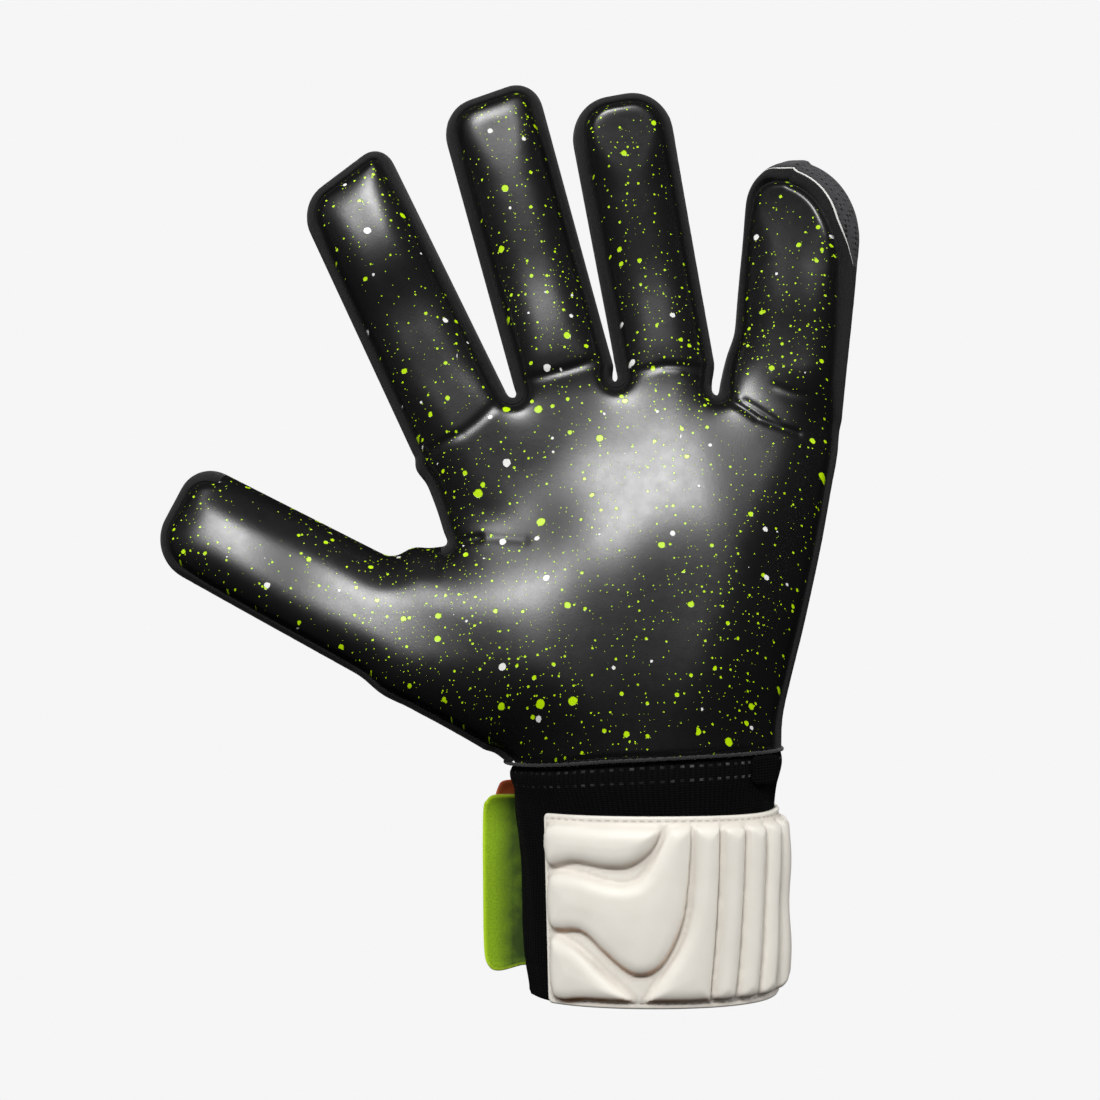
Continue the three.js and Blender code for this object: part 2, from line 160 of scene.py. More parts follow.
def rounded(corners, steps=6):
    """A closed Catmull-Rom curve through the corners."""
    p = np.array(corners, float)
    before, after, beyond = np.roll(p, 1, 0), np.roll(p, -1, 0), np.roll(p, -2, 0)
    t = (np.arange(steps) / steps)[:, None, None]
    line = 0.5 * (
        2 * p
        + (after - before) * t
        + (2 * before - 5 * p + 4 * after - beyond) * t**2
        + (3 * p - before - 3 * after + beyond) * t**3
    )
    return line.transpose(1, 0, 2).reshape(-1, 2)


def wobble(points, size, seed):
    """Smooth noise of about 1, from a few sines: it has no grain finer than size."""
    turn = np.random.default_rng(seed)
    total = np.zeros(len(points))
    for _ in range(5):
        angle, phase = turn.uniform(0, 2 * math.pi, 2)
        pace = 2 * math.pi / (size * turn.uniform(0.8, 1.8))
        total += np.sin((points[:, 0] * math.cos(angle) + points[:, 1] * math.sin(angle)) * pace + phase)
    return total / 2.2


# ---- digits ----------------------------------------------------------------------------------


def joint(name):
    """A joint of the CAD frame."""
    return next(j for j in frame["joints"] if j["name"] == name)


class Digit:
    """One digit's place in the pattern: u runs across it, v along it from its base crease."""

    def __init__(self, name, half, shift, reach, corners, slant, bend):
        self.name, self.half, self.shift, self.reach = name, half, shift, reach
        self.corners, self.slant, self.bend = corners, slant, bend
        self.swell, self.lean, self.curl, self.flat = PADDING[name].values()
        base = np.array(joint(name + "_base")["pos_m"]) / MM
        middle = np.array(joint(name + "_middle")["pos_m"]) / MM
        self.axis = np.array(joint(name + "_middle")["axis"])
        self.direction = (middle - base) / np.linalg.norm(middle - base)
        self.lower = np.linalg.norm(middle - base)
        inward = np.cross(self.direction, self.axis)
        self.origin = base - PIVOT_Y * inward
        self.along = self.direction[[0, 2]] / np.linalg.norm(self.direction[[0, 2]])
        self.across = np.array([self.along[1], -self.along[0]])
        a, b = (np.array(end) for end in CREASES[name])
        normal = np.array([a[1] - b[1], b[0] - a[0]])
        self.crease = (a + b) / 2
        self.crease_normal = normal / np.linalg.norm(normal) * np.sign(normal @ self.along)
        self.split = self.lower * (0.62 if name == "thumb" else 0.57)

    def place(self, points):
        rel = points - self.origin[[0, 2]]
        return rel @ self.across, rel @ self.along

    def past_crease(self, points):
        return (points - self.crease) @ self.crease_normal

    def sideways(self, points):
        """u counted from the digit's own middle line, and its half width there."""
        u, v = self.place(points)
        t = np.clip(v / self.reach, -0.3, 1)
        return u - between(self.shift, t), v, between(self.half, t)

    def inside(self, points):
        """About the distance inside this digit's outline, negative outside."""
        u, v, half = self.sideways(points)
        radius = np.where(u < 0, self.corners[0], self.corners[1])
        narrowing = 0 if self.name == "thumb" else 0.35 * np.maximum(-v, 0)
        over_side = np.abs(u) - (half - radius) + narrowing
        over_tip = v - self.slant * u - (self.reach - radius)
        corner = np.hypot(np.maximum(over_side, 0), np.maximum(over_tip, 0))
        inner = np.minimum(np.maximum(over_side, over_tip), 0)
        return np.minimum(radius - corner - inner, v + (24 if self.name == "thumb" else 11))


digits = [Digit(name, **sizes) for name, sizes in DIGITS.items()]
thumb, little = digits[0], digits[-1]


def on_digit(zone, digit):
    return zone == digits.index(digit)


# ---- the outline -----------------------------------------------------------------------------


def inside_polygon(points, polygon):
    """Signed distance to a closed polygon, positive inside."""
    ends = np.roll(polygon, -1, 0)
    nearest = np.full(len(points), 1e9)
    crossings = np.zeros(len(points), int)
    for a, b in zip(polygon, ends):
        nearest = np.minimum(nearest, segment_distance(points, a, b))
        spans = (a[1] > points[:, 1]) != (b[1] > points[:, 1])
        if a[1] != b[1]:
            x = a[0] + (points[:, 1] - a[1]) / (b[1] - a[1]) * (b[0] - a[0])
            crossings += spans & (points[:, 0] < x)
    return np.where(crossings % 2 == 1, nearest, -nearest)


def smooth_union(a, b, radius):
    share = np.clip(0.5 + (a - b) / (2 * radius), 0, 1)
    return b + (a - b) * share + radius * share * (1 - share)


def blur(grid, passes):
    for _ in range(passes):
        for axis in (0, 1):
            grid = (np.roll(grid, 1, axis) + 2 * grid + np.roll(grid, -1, axis)) / 4
    return grid


# The palm slopes down from the heel and the ball of the thumb to the roots of the fingers. This is
# the middle of the slope, and how gentle it is at the thumb's side and at the other side.
SLOPE_LINE = [
    (-120, 124), (-61, 121), (-45, 123), (-32, 130), (-20.5, 142), (-8.8, 155), (14.6, 165), (32, 171),
    (70, 180),
]
SLOPE_WIDTH = (18.0, 21.0)


def raised(points):
    """1 on the heel and the ball of the thumb, 0 in the hollow past the slope."""
    places = np.arange(-170.0, 120.0, 1.0)
    line = np.interp(places, *np.array(SLOPE_LINE, float).T)
    window = bump(np.arange(-24, 25), 0, 10)
    line = np.convolve(np.pad(line, 24, mode="edge"), window / window.sum(), mode="valid")
    x, z = points.T
    height = np.interp(x, places, line)
    steepness = np.interp(x, places, np.gradient(line, places))
    beyond = (z - height) / np.hypot(1, steepness)
    width = between(SLOPE_WIDTH, smooth(-35, 5, x))
    return 0.5 * (1 - np.tanh(beyond / width))


class Pattern:
    """The flat outline of the glove, as a grid of distances to it."""

    def __init__(self, low=(-150.0, 40.0), high=(70.0, 272.0)):
        self.xs = np.arange(low[0], high[0], GRID)
        self.zs = np.arange(low[1], high[1], GRID)
        gx, gz = np.meshgrid(self.xs, self.zs, indexing="ij")
        points = np.column_stack([gx.ravel(), gz.ravel()])
        field = inside_polygon(points, rounded(HAND_OUTLINE, 5))
        for digit in digits:
            field = smooth_union(field, digit.inside(points), 5.0 if digit is thumb else 1.0)
        self.points, self.shape = points, gx.shape
        dense = resample(self.contour(field.reshape(gx.shape)), 0.2)
        tree = kdtree.KDTree(len(dense))
        for i, (x, z) in enumerate(dense):
            tree.insert((x, z, 0), i)
        tree.balance()
        distance = np.array([tree.find((x, z, 0))[2] for x, z in points])
        self.distance = np.where(field > 0, distance, -distance).reshape(gx.shape)
        blurred = blur(self.distance, 24)
        self.soft = self.distance + (blurred - self.distance) * smooth(1.5, 7, self.distance)
        self.loop = self.spread(dense)

    def spread(self, line, depth=5.5, spacing=1.0):
        """Places points along the outline so that they are close together inside the seam too."""
        inner = line.copy()
        for _ in range(int(depth / 0.25)):
            inner = inner + self.inward(inner) * 0.25
        outside = np.linalg.norm(np.diff(line, axis=0), axis=1)
        inside = np.linalg.norm(np.diff(inner, axis=0), axis=1)
        measure = np.r_[0, np.cumsum(np.maximum(outside, np.minimum(inside, 8 * outside)))]
        places = np.linspace(0, measure[-1], int(measure[-1] / spacing))
        return np.column_stack([np.interp(places, measure, line[:, k]) for k in (0, 1)])

    def contour(self, field):
        """The field's zero line, from one end at the grid's edge to the other, by marching squares."""
        inside = field > 0
        links = {}
        codes = inside[:-1, :-1] * 1 + inside[1:, :-1] * 2 + inside[1:, 1:] * 4 + inside[:-1, 1:] * 8
        corners = ((0, 0), (1, 0), (1, 1), (0, 1))
        for i, j in zip(*np.nonzero((codes > 0) & (codes < 15))):
            cut = []
            for k in range(4):
                a = (i + corners[k][0], j + corners[k][1])
                b = (i + corners[(k + 1) % 4][0], j + corners[(k + 1) % 4][1])
                if inside[a] != inside[b]:
                    cut.append((min(a, b), max(a, b)))
            for one, other in ((cut[0], cut[1]), (cut[1], cut[0])):
                links.setdefault(one, []).append(other)
            if len(cut) == 4:
                for one, other in ((cut[2], cut[3]), (cut[3], cut[2])):
                    links.setdefault(one, []).append(other)
        start = next(key for key, ends in links.items() if len(ends) == 1)
        chain, previous = [start], None
        while True:
            ends = [e for e in links[chain[-1]] if e != previous]
            if not ends:
                break
            previous = chain[-1]
            chain.append(ends[0])
        line = []
        for a, b in chain:
            share = field[a] / (field[a] - field[b])
            ends = ((self.xs[a[0]], self.xs[b[0]]), (self.zs[a[1]], self.zs[b[1]]))
            line.append([between(pair, share) for pair in ends])
        return np.array(line)

    def sample(self, points, grid=None):
        grid = self.distance if grid is None else grid
        x = np.clip((points[:, 0] - self.xs[0]) / GRID, 0, len(self.xs) - 1.001)
        z = np.clip((points[:, 1] - self.zs[0]) / GRID, 0, len(self.zs) - 1.001)
        i, j = x.astype(int), z.astype(int)
        s, t = x - i, z - j
        return (
            grid[i, j] * (1 - s) * (1 - t)
            + grid[i + 1, j] * s * (1 - t)
            + grid[i, j + 1] * (1 - s) * t
            + grid[i + 1, j + 1] * s * t
        )

    def inward(self, points, reach=0.8):
        """The direction in which the distance to the outline grows."""
        ex, ez = np.array([reach, 0]), np.array([0, reach])
        g = np.column_stack([
            self.sample(points + ex) - self.sample(points - ex),
            self.sample(points + ez) - self.sample(points - ez),
        ])
        return g / np.maximum(np.linalg.norm(g, axis=1), 1e-9)[:, None]


def resample(line, spacing):
    """A line's points evened out a little and placed at even steps. The line itself is relaxed."""
    for _ in range(3):
        line[1:-1] = (line[:-2] + 2 * line[1:-1] + line[2:]) / 4
    lengths = np.r_[0, np.cumsum(np.linalg.norm(np.diff(line, axis=0), axis=1))]
    places = np.linspace(0, lengths[-1], max(int(lengths[-1] / spacing), 2))
    return np.column_stack([np.interp(places, lengths, line[:, k]) for k in (0, 1)])


pattern = Pattern()

# ---- depth -----------------------------------------------------------------------------------


def thumbness(points):
    """0 on the hand, 1 on the thumb."""
    past = thumb.past_crease(points)
    return smooth(-32, 20, past) * smooth(146, 130, points[:, 1] + 0.25 * (points[:, 0] + 60))


# Half depths down the middle of the hand, by height, and how far in from its outline it rounds.
BACK_DEPTH = [(60, 25.4), (85, 23.6), (110, 20), (140, 16.2), (172, 12.6)]
HEEL_DEPTH = [(60, 24.2), (72, 25.0), (92, 26.0), (112, 25.6), (135, 24.0), (160, 20.5), (185, 17)]
HOLLOW_DEPTH = [(60, 17), (110, 13.6), (140, 12.4), (172, 12.8)]
ROUNDING = [(60, 39), (90, 34), (130, 28), (160, 19), (178, 14.6)]
ROUNDING_POWER = [(60, 2.0), (100, 2.2), (160, EDGE_POWER)]
# The same of the thumb, on its palm's side (-1) and its back (1).
THUMB_DEPTH = {-1: 16.0, 1: 12.6}
THUMB_POWER = {-1: 2.6, 1: 2.2}
THUMB_ROUNDING = 16


def body_shape(points, side):
    """Half depth, rounding distance and edge power of the hand's own form, before its pads."""
    z = points[:, 1]
    to_thumb = thumbness(points)
    reach = curve(z, ROUNDING) * (1 - to_thumb) + THUMB_ROUNDING * to_thumb
    for web in WEBS:
        reach = reach * (1 - 0.45 * bump(np.hypot(*(points - web).T), 0, 11))
    power = curve(z, ROUNDING_POWER) * (1 - to_thumb) + THUMB_POWER[side] * to_thumb
    if side > 0:
        return curve(z, BACK_DEPTH) * (1 - to_thumb) + THUMB_DEPTH[side] * to_thumb, reach, power
    hollow = curve(z, HOLLOW_DEPTH)
    depth = hollow + (curve(z, HEEL_DEPTH) - hollow) * raised(points)
    u, v = thumb.place(points)
    leaning = THUMB_DEPTH[side] - THUMB_TILT * 18 * np.tanh(u / 18) + THUMB_TAPER * (45 - v)
    zone = zone_of(points)
    for digit in digits:
        _, v, _ = digit.sideways(points)
        on_tip = smooth(digit.reach - 30, digit.reach - 12, v) * on_digit(zone, digit)
        reach = reach * (1 - digit.flat * on_tip)
    return depth * (1 - to_thumb) + leaning * to_thumb, reach, power


# The palm's creases and wrinkles: two ends, depth and width.
PALM_CREASES = [
    ((-66, 156.5), (-55, 163), 0.6, 1.0), ((-55, 163), (-43, 172.5), 0.5, 1.0),
    ((-40.5, 177), (-28, 180.5), 0.6, 0.9), ((-28, 180.5), (-15, 183.5), 0.7, 0.9),
    ((-10.5, 179), (4, 181.8), 0.5, 0.9), ((4, 181.8), (15, 181.5), 0.7, 0.9),
    ((22, 172.5), (30, 166.5), 1.1, 0.9), ((30, 166.5), (42, 162.5), 0.9, 0.8),
    ((27, 171.5), (36, 165.5), 0.6, 0.8), ((37, 176.5), (46, 173.5), 0.3, 0.9),
    ((10, 179.5), (15.5, 176.5), 0.4, 0.8),
    ((-59.5, 131.2), (-50, 132.6), 1.0, 0.9), ((-50, 132.6), (-36, 132.0), 0.25, 1.0),
]


def creases(points):
    """How deep the palm's creases and wrinkles cut at each point."""
    bent = points + 0.5 * np.column_stack([wobble(points, 22, 1), wobble(points, 18, 2)])
    cut = np.zeros(len(points))
    for a, b, depth, width in PALM_CREASES:
        cut = np.maximum(cut, 0.8 * depth * bump(segment_distance(bent, a, b), 0, 1.3 * width))
    return cut


def pads(points, side):
    """What the padding adds: two swells along each finger, and mounds on the palm."""
    total = np.zeros(len(points))
    strength = 1 if side < 0 else 0.6
    for digit in digits:
        u, v, half = digit.sideways(points)
        if digit is thumb:
            own = smooth(158, 150, points[:, 1])
            wave = bump(v, 62, 24)
        else:
            own = smooth(1.15, 0.9, np.abs(u) / half) * smooth(-8, 8, digit.past_crease(points))
            wave = 0.5 * (1 + np.cos(2 * math.pi * (v - 9) / (digit.reach * 0.58))) - 0.25
        most = strength * between(digit.swell, smooth(0.25, 0.6, v / digit.reach))
        total += own * (most * wave)
    x, z = points.T
    if side < 0:
        total += 2.4 * bump(x, -56, 18) * bump(z, 114, 22)  # the root of the thumb
        total -= 0.0047 * np.maximum(x - 13, 0) ** 2 * smooth(182, 160, z)  # off to the little finger
        total -= 1.2 * bump(x, -47, 13) * bump(z, 136, 8)  # the web of the thumb
    return total


def depth_at(points, side):
    """The skin's depth, from the pattern's plane outwards."""
    depth, reach, power = body_shape(points, side)
    edge = rise(np.maximum(pattern.sample(points, pattern.soft), 0) / reach, power)
    _, v, _ = little.sideways(points)
    thin = 1 - LITTLE_THINNING * smooth(28, 66, v) * (points[:, 0] > LITTLE_SIDE)
    return (depth * thin + pads(points, side)) * edge + 0.25 * edge * wobble(points, 26, 5 + side)


def warp(points, y):
    """From the pattern to space: the little finger rolls, and the fingers lean in a little."""
    space = np.column_stack([points[:, 0], y, points[:, 1]])
    zone = zone_of(points)
    past = little.past_crease(points)
    turn = between(LITTLE_ROLL, smooth(14, 62, past))
    turn = turn * smooth(-4, 14, past) * on_digit(zone, little)
    k = np.array([little.along[0], 0, little.along[1]])
    p = space - little.origin
    c, s = np.cos(turn)[:, None], np.sin(turn)[:, None]
    space = p * c + np.cross(k, p) * s + k * (p @ k)[:, None] * (1 - c) + little.origin
    for digit in digits:
        if digit is not thumb:
            past = np.maximum(digit.past_crease(points), 0)
            forward = digit.lean * (np.hypot(past, 8) - 8) + digit.curl * (past / digit.reach) ** 2
            space[:, 1] -= np.where(on_digit(zone, digit), forward, 0)
    return space


def zone_of(points):
    """Which digit each point is on, past its crease, or -1 on the hand."""
    best = np.full(len(points), 1.35)
    zone = np.full(len(points), -1)
    for i, digit in enumerate(digits):
        u, _, half = digit.sideways(points)
        wide = 1.9 if digit is thumb else 1.0
        nearness = np.where(digit.past_crease(points) > -2.2, np.abs(u) / half / wide, 9)
        if digit is thumb:
            nearness = np.where(points[:, 1] > 156, 9, nearness)
        zone = np.where(nearness < best, i, zone)
        best = np.minimum(best, nearness)
    return zone


# ---- meshes ----------------------------------------------------------------------------------


def make_mesh(name, space, faces, rest=None, normals=None, extra=None):
    """A smooth mesh object from points in millimetres, with its pattern place kept for shading."""
    mesh = bpy.data.meshes.new(name)
    mesh.from_pydata((space * MM).tolist(), [], faces)
    mesh.polygons.foreach_set("use_smooth", [True] * len(mesh.polygons))
    kept = mesh.attributes.new("rest", "FLOAT_VECTOR", "POINT")
    kept.data.foreach_set("vector", np.asarray(space if rest is None else rest, np.float32).ravel())
    for key, values in (extra or {}).items():
        mesh.attributes.new(key, "FLOAT", "POINT").data.foreach_set("value", np.asarray(values, np.float32))
    if normals is not None:
        mesh.normals_split_custom_set_from_vertices(normals.tolist())
    mesh.validate()
    obj = bpy.data.objects.new(name, mesh)
    bpy.context.scene.collection.objects.link(obj)
    return obj


def vertex_normals(space, faces):
    """Area-weighted vertex normals of a mesh of quads."""
    quads = np.array(faces)
    a, b, c, d = (space[quads[:, k]] for k in range(4))
    face = np.cross(c - a, d - b)
    total = np.zeros_like(space)
    for k in range(4):
        np.add.at(total, quads[:, k], face)
    return total / np.maximum(np.linalg.norm(total, axis=1), 1e-12)[:, None]


class Layer:
    """One sewn layer of the whole glove, before it is cut into pieces."""

    def __init__(self, points, y, faces, **extra):
        self.points, self.faces, self.extra = points, np.array(faces), extra
        self.rest = np.column_stack([points[:, 0], y, points[:, 1]])
        self.space = warp(points, y)
        self.normals = vertex_normals(self.space, faces)

    def cut(self):
        """Splits the layer where nothing bends: {zone name: object parts}."""
        centres = self.points[self.faces].mean(axis=1)
        zone = zone_of(centres)
        names = np.full(len(centres), "hand", dtype=object)
        for i, digit in enumerate(digits):
            _, v, _ = digit.sideways(centres)
            names[(zone == i) & (v < digit.split)] = digit.name + "_lower"
            names[(zone == i) & (v >= digit.split)] = digit.name + "_upper"
        return {name: self.faces[names == name] for name in np.unique(names)}

    def piece(self, name, faces):
        used, local = np.unique(faces, return_inverse=True)
        return make_mesh(
            name, self.space[used], local.reshape(faces.shape).tolist(), self.rest[used],
            self.normals[used], {key: values[used] for key, values in self.extra.items()},
        )


def attach(obj, zone):
    """Makes a piece of a sewn layer ride with the hand's body if it lies on the hand; a digit's piece stays
    where it is.
    """
    if zone == "hand":
        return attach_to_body(obj, "hand")
    if zone.endswith("_lower"):
        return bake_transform(obj)
    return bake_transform(obj)


def above_wrist(points):
    """How far each point is above the slanting seam at the bottom of the hand."""
    return points[:, 1] - WRIST_Z - curve(points[:, 0], WRIST_CLIMB)


def face_grid(inset):
    """The pattern's cells further inside than inset, with the outer ring moved onto that line.
    inset is a function of points. Returns points, quads and each point's distance from the line."""
    ready = pattern.distance - inset(pattern.points).reshape(pattern.shape)
    ready = np.minimum(ready, above_wrist(pattern.points).reshape(pattern.shape))
    middles = (ready[:-1, :-1] + ready[1:, :-1] + ready[:-1, 1:] + ready[1:, 1:]) / 4
    i, j = np.nonzero(middles > 0)
    columns = pattern.shape[1]
    near, far = i * columns + j, (i + 1) * columns + j
    quads = np.column_stack([near, far, far + 1, near + 1])
    used, local = np.unique(quads, return_inverse=True)
    quads = local.reshape(quads.shape)
    points = pattern.points[used].copy()
    rim = np.bincount(quads.ravel(), minlength=len(used)) < 4
    for _ in range(2):
        here = pattern.sample(points, ready)
        ex, ez = np.array([0.5, 0]), np.array([0, 0.5])
        slope = np.column_stack([
            pattern.sample(points + ex, ready) - pattern.sample(points - ex, ready),
            pattern.sample(points + ez, ready) - pattern.sample(points - ez, ready),
        ])
        step = -here / np.maximum((slope**2).sum(1), 0.3)
        points = np.where(rim[:, None], points + np.clip(step[:, None] * slope, -0.5, 0.5), points)
    return points, quads, np.maximum(pattern.sample(points, ready), 0)


def rolled_edge(points):
    """1 where the latex rolls round to the side with no gusset in front: the thumb's upper edge."""
    x, z = points.T
    u, v, _ = thumb.sideways(points)
    under_index = smooth(3, -2, z - 133 + 0.55 * (x + 60))
    return smooth(3, 9, u) * smooth(82, 77, v) * smooth(-59.5, -62.5, x) * under_index


def tip_wrap(points):
    """1 where the backhand comes round the little fingertip to the palm's side."""
    u, v, _ = little.sideways(points)
    return smooth(42, 58, v) * smooth(-16, -5, u) * (points[:, 0] > LITTLE_SIDE)


def tip_share(points):
    """1 near the fingertips, 0 along the fingers and on the hand."""
    share = np.zeros(len(points))
    zone = zone_of(points)
    for digit in digits:
        _, v, _ = digit.sideways(points)
        near_tip = smooth(digit.reach - 22, digit.reach - 8, v)
        share = np.maximum(share, near_tip * on_digit(zone, digit))
    return share


def front_inset(points):
    """How far inside the outline the latex seam runs."""
    rolled = rolled_edge(points)
    return SEAM_FRONT * (1 - rolled) + 1.3 * rolled + 0.6 * tip_share(points) + 2.6 * tip_wrap(points)


def back_inset(points):
    """The backhand's seam comes round to the little fingertip's edge, and leaves the rolled latex."""
    return SEAM_BACK + 3.0 * rolled_edge(points) - 2.9 * tip_wrap(points)


def latex_layer():
    points, quads, past = face_grid(front_inset)
    wrist = smooth(0.4, 2.6, above_wrist(points))
    rolled = rolled_edge(points) * smooth(9, 3, past)
    seam = (0.9 + 0.8 * tip_share(points)) * (1 - smooth(0, 1.7, past)) * (1 - rolled)
    swell = 0.55 * smooth(0, 2.4, past) * wrist * (1 - rolled)
    y = -(depth_at(points, -1) - seam * np.minimum(1, wrist + 0.4) + swell - creases(points))
    return Layer(points, y, quads[:, ::-1], seam=past + 9 * rolled)


FLEX_GROOVES = (0.34, 0.42, 0.50, 0.58)  # where they are along a digit


def flex_grooves(points):
    """Transverse grooves that let the backhand's fingers bend."""
    cut = np.zeros(len(points))
    for digit in digits:
        u, v, half = digit.sideways(points)
        mine = smooth(1.0, 0.8, np.abs(u) / half) * smooth(2, 8, digit.past_crease(points))
        for share in FLEX_GROOVES:
            arc = v - digit.reach * share + 0.02 * u * u
            cut = np.maximum(cut, 1.6 * mine * bump(arc, 0, 1.1))
        rail = np.abs(np.abs(u) - half * 0.52)
        before_tip = smooth(digit.reach - 6, digit.reach - 14, v)
        cut = np.maximum(cut, 1.1 * mine * bump(rail, 0, 0.9) * before_tip)
    return cut


def hand_back_grooves(points):
    """The backhand's own moulded lines: nested curves over the knuckles and a wrist arc."""
    x, z = points.T
    cut = np.zeros(len(points))
    on_hand = smooth(168, 160, z) * smooth(6, 12, pattern.sample(points))
    for k in range(4):
        arc = z - (148 - 15 * k) - 10 * np.cos((x + 6) / 26.0) + 0.10 * x
        cut = np.maximum(cut, (1.7 - 0.1 * k) * on_hand * bump(arc, 0, 1.3) * smooth(52, 40, np.abs(x + 6)))
    return cut


def back_layer():
    points, quads, past = face_grid(back_inset)
    edge = smooth(0, 2.4, past)
    lift = BACK_RAISE * (0.55 + 0.45 * edge) + 0.8 * smooth(2, 9, past)
    y = depth_at(points, 1) + lift - flex_grooves(points) - hand_back_grooves(points)
    y -= 1.2 * smooth(3.0, 0.6, above_wrist(points))
    coral = bump(points[:, 1], 84, 3.4) * smooth(8, 12, pattern.sample(points))
    return Layer(points, y, quads, accent=coral)


def lining_layer():
    """The jersey sock inside: two faces that meet along the edge."""
    points, quads, past = face_grid(lambda at: np.full(len(at), SEAM_BACK))
    depths = []
    for side in (-1, 1):
        room = np.maximum(depth_at(points, side) - 5.0, 0)
        depths.append(side * room * rise(past / 5, 2))
    faces = np.vstack([quads, quads[:, ::-1] + len(points)])
    return Layer(np.vstack([points, points]), np.concatenate(depths), faces)


def loop_along_outline():
    """The outline from wrist to wrist, with the way inwards at each point."""
    return pattern.loop[above_wrist(pattern.loop) > -0.6]


def skin(side, lift):
    """A ring's depth, lift above the skin: side is -1 on the palm and 1 on the back of the hand."""
    return lambda at: side * (depth_at(at, side) + lift)


def flank(height):
    """A ring's depth on the glove's side, as a share of the back's depth just inside the outline."""
    return lambda at: height * 0.6 * depth_at(at + 0.15 * pattern.inward(at), 1)


def sweep(line, rings):
    """Points, depths and quads of a band swept along the outline. A ring is its distances inwards
    from the outline and the function that gives its depths."""
    step = 0.5
    deepest = 7.0
    count = len(line)
    paths = [line]
    here = line.copy()
    for _ in range(int(deepest / step)):
        here = here + pattern.inward(here) * step
        paths.append(here)
    paths = np.array(paths)
    outward = -pattern.inward(line)
    points, depths = [], []
    for distance, depth in rings:
        place = np.clip(distance / step, 0, len(paths) - 1.001)
        k = place.astype(int)
        share = (place - k)[:, None]
        at = paths[k, np.arange(count)] * (1 - share) + paths[k + 1, np.arange(count)] * share
        at = at + outward * np.maximum(-distance, 0)[:, None]
        at[:, 1] -= np.minimum(above_wrist(at) + 0.6, 0)
        points.append(at)
        depths.append(depth(at))
    quads = []
    for r in range(len(rings) - 1):
        a = r * count + np.arange(count - 1)
        quads.append(np.column_stack([a, a + 1, a + 1 + count, a + count]))
    return np.vstack(points), np.concatenate(depths), np.vstack(quads)


def gusset_layer():
    """The stretch fabric round the edge, from the latex seam to the backhand seam."""
    line = loop_along_outline()
    front, back = front_inset(line), back_inset(line)
    plain = 1 - rolled_edge(line)
    sink = 1.9
    rings = [(front + 1.2, skin(-1, -(sink + 1.2) * plain)), (front + 0.5, skin(-1, -sink * plain))]
    for t, dip in (
        (0.97, 0.6), (0.88, 0.05), (0.72, -0.25), (0.52, -0.3), (0.34, -0.25), (0.19, -0.1), (0.08, 0),
        (0.025, 0),
    ):
        rings.append((front * t, skin(-1, -dip * plain)))
    for height in (-0.62, -0.25, 0.15, 0.55):
        rings.append((np.zeros(len(line)), flank(height)))
    for t, dip in ((0.03, 0), (0.1, 0), (0.24, -0.1), (0.45, -0.2), (0.7, -0.15), (0.88, 0.1), (0.98, 0.8)):
        rings.append((back * t, skin(1, -dip)))
    rings.append((back + 0.6, skin(1, -2.2)))
    points, y, quads = sweep(line, rings)
    latex = rolled_edge(points) * (y < 9)
    return Layer(points, y, quads, rolled=latex, seam=np.full(len(points), 9.0))


def foam_layer():
    """The cut white edge of the backhand's foam, between the gusset and the mesh."""
    line = loop_along_outline()
    back = back_inset(line)
    rings = [
        (back - 0.25, skin(1, -1.6)),
        (back - 0.35, skin(1, 0.0)),
        (back - 0.2, skin(1, BACK_RAISE * 0.5)),
        (back + 0.3, skin(1, BACK_RAISE * 0.62)),
        (back + 0.8, skin(1, BACK_RAISE * 0.4)),
    ]
    return Layer(*sweep(line, rings))


# Rings round the little fingertip, where the backhand comes forward: the palm's side (-1) or the
# back's (1), the distance inwards from the outline and the lift above the skin.
TIP_MESH_RINGS = [
    (-1, 2.5, -0.5), (-1, 2.45, 0.5), (-1, 2.0, 0.9), (-1, 1.2, 1.0), (-1, 0.4, 0.9), (-1, -0.5, 0.6),
    (1, -0.8, -0.4), (1, -0.5, 1.0), (1, 0.4, 1.3), (1, 1.6, 1.2),
]
TIP_FOAM_RINGS = [(-1, 2.95, -0.6), (-1, 2.9, 0.5), (-1, 2.75, 0.85), (-1, 2.5, 0.9), (-1, 2.35, 0.3)]


def tip_layer(rings):
    """A band folded round the little fingertip over the gusset."""
    line = loop_along_outline()
    line = line[tip_wrap(line) > 0.03]
    share = tip_wrap(line)
    bands = [(inset * share, skin(side, lift * share)) for side, inset, lift in rings]
    return Layer(*sweep(line, bands))


# ---- materials -------------------------------------------------------------------------------


def opaque(value):
    """What a colour input takes: a node's output as it is, or red, green and blue with no alpha."""
    return (*value, 1) if isinstance(value, tuple) else value


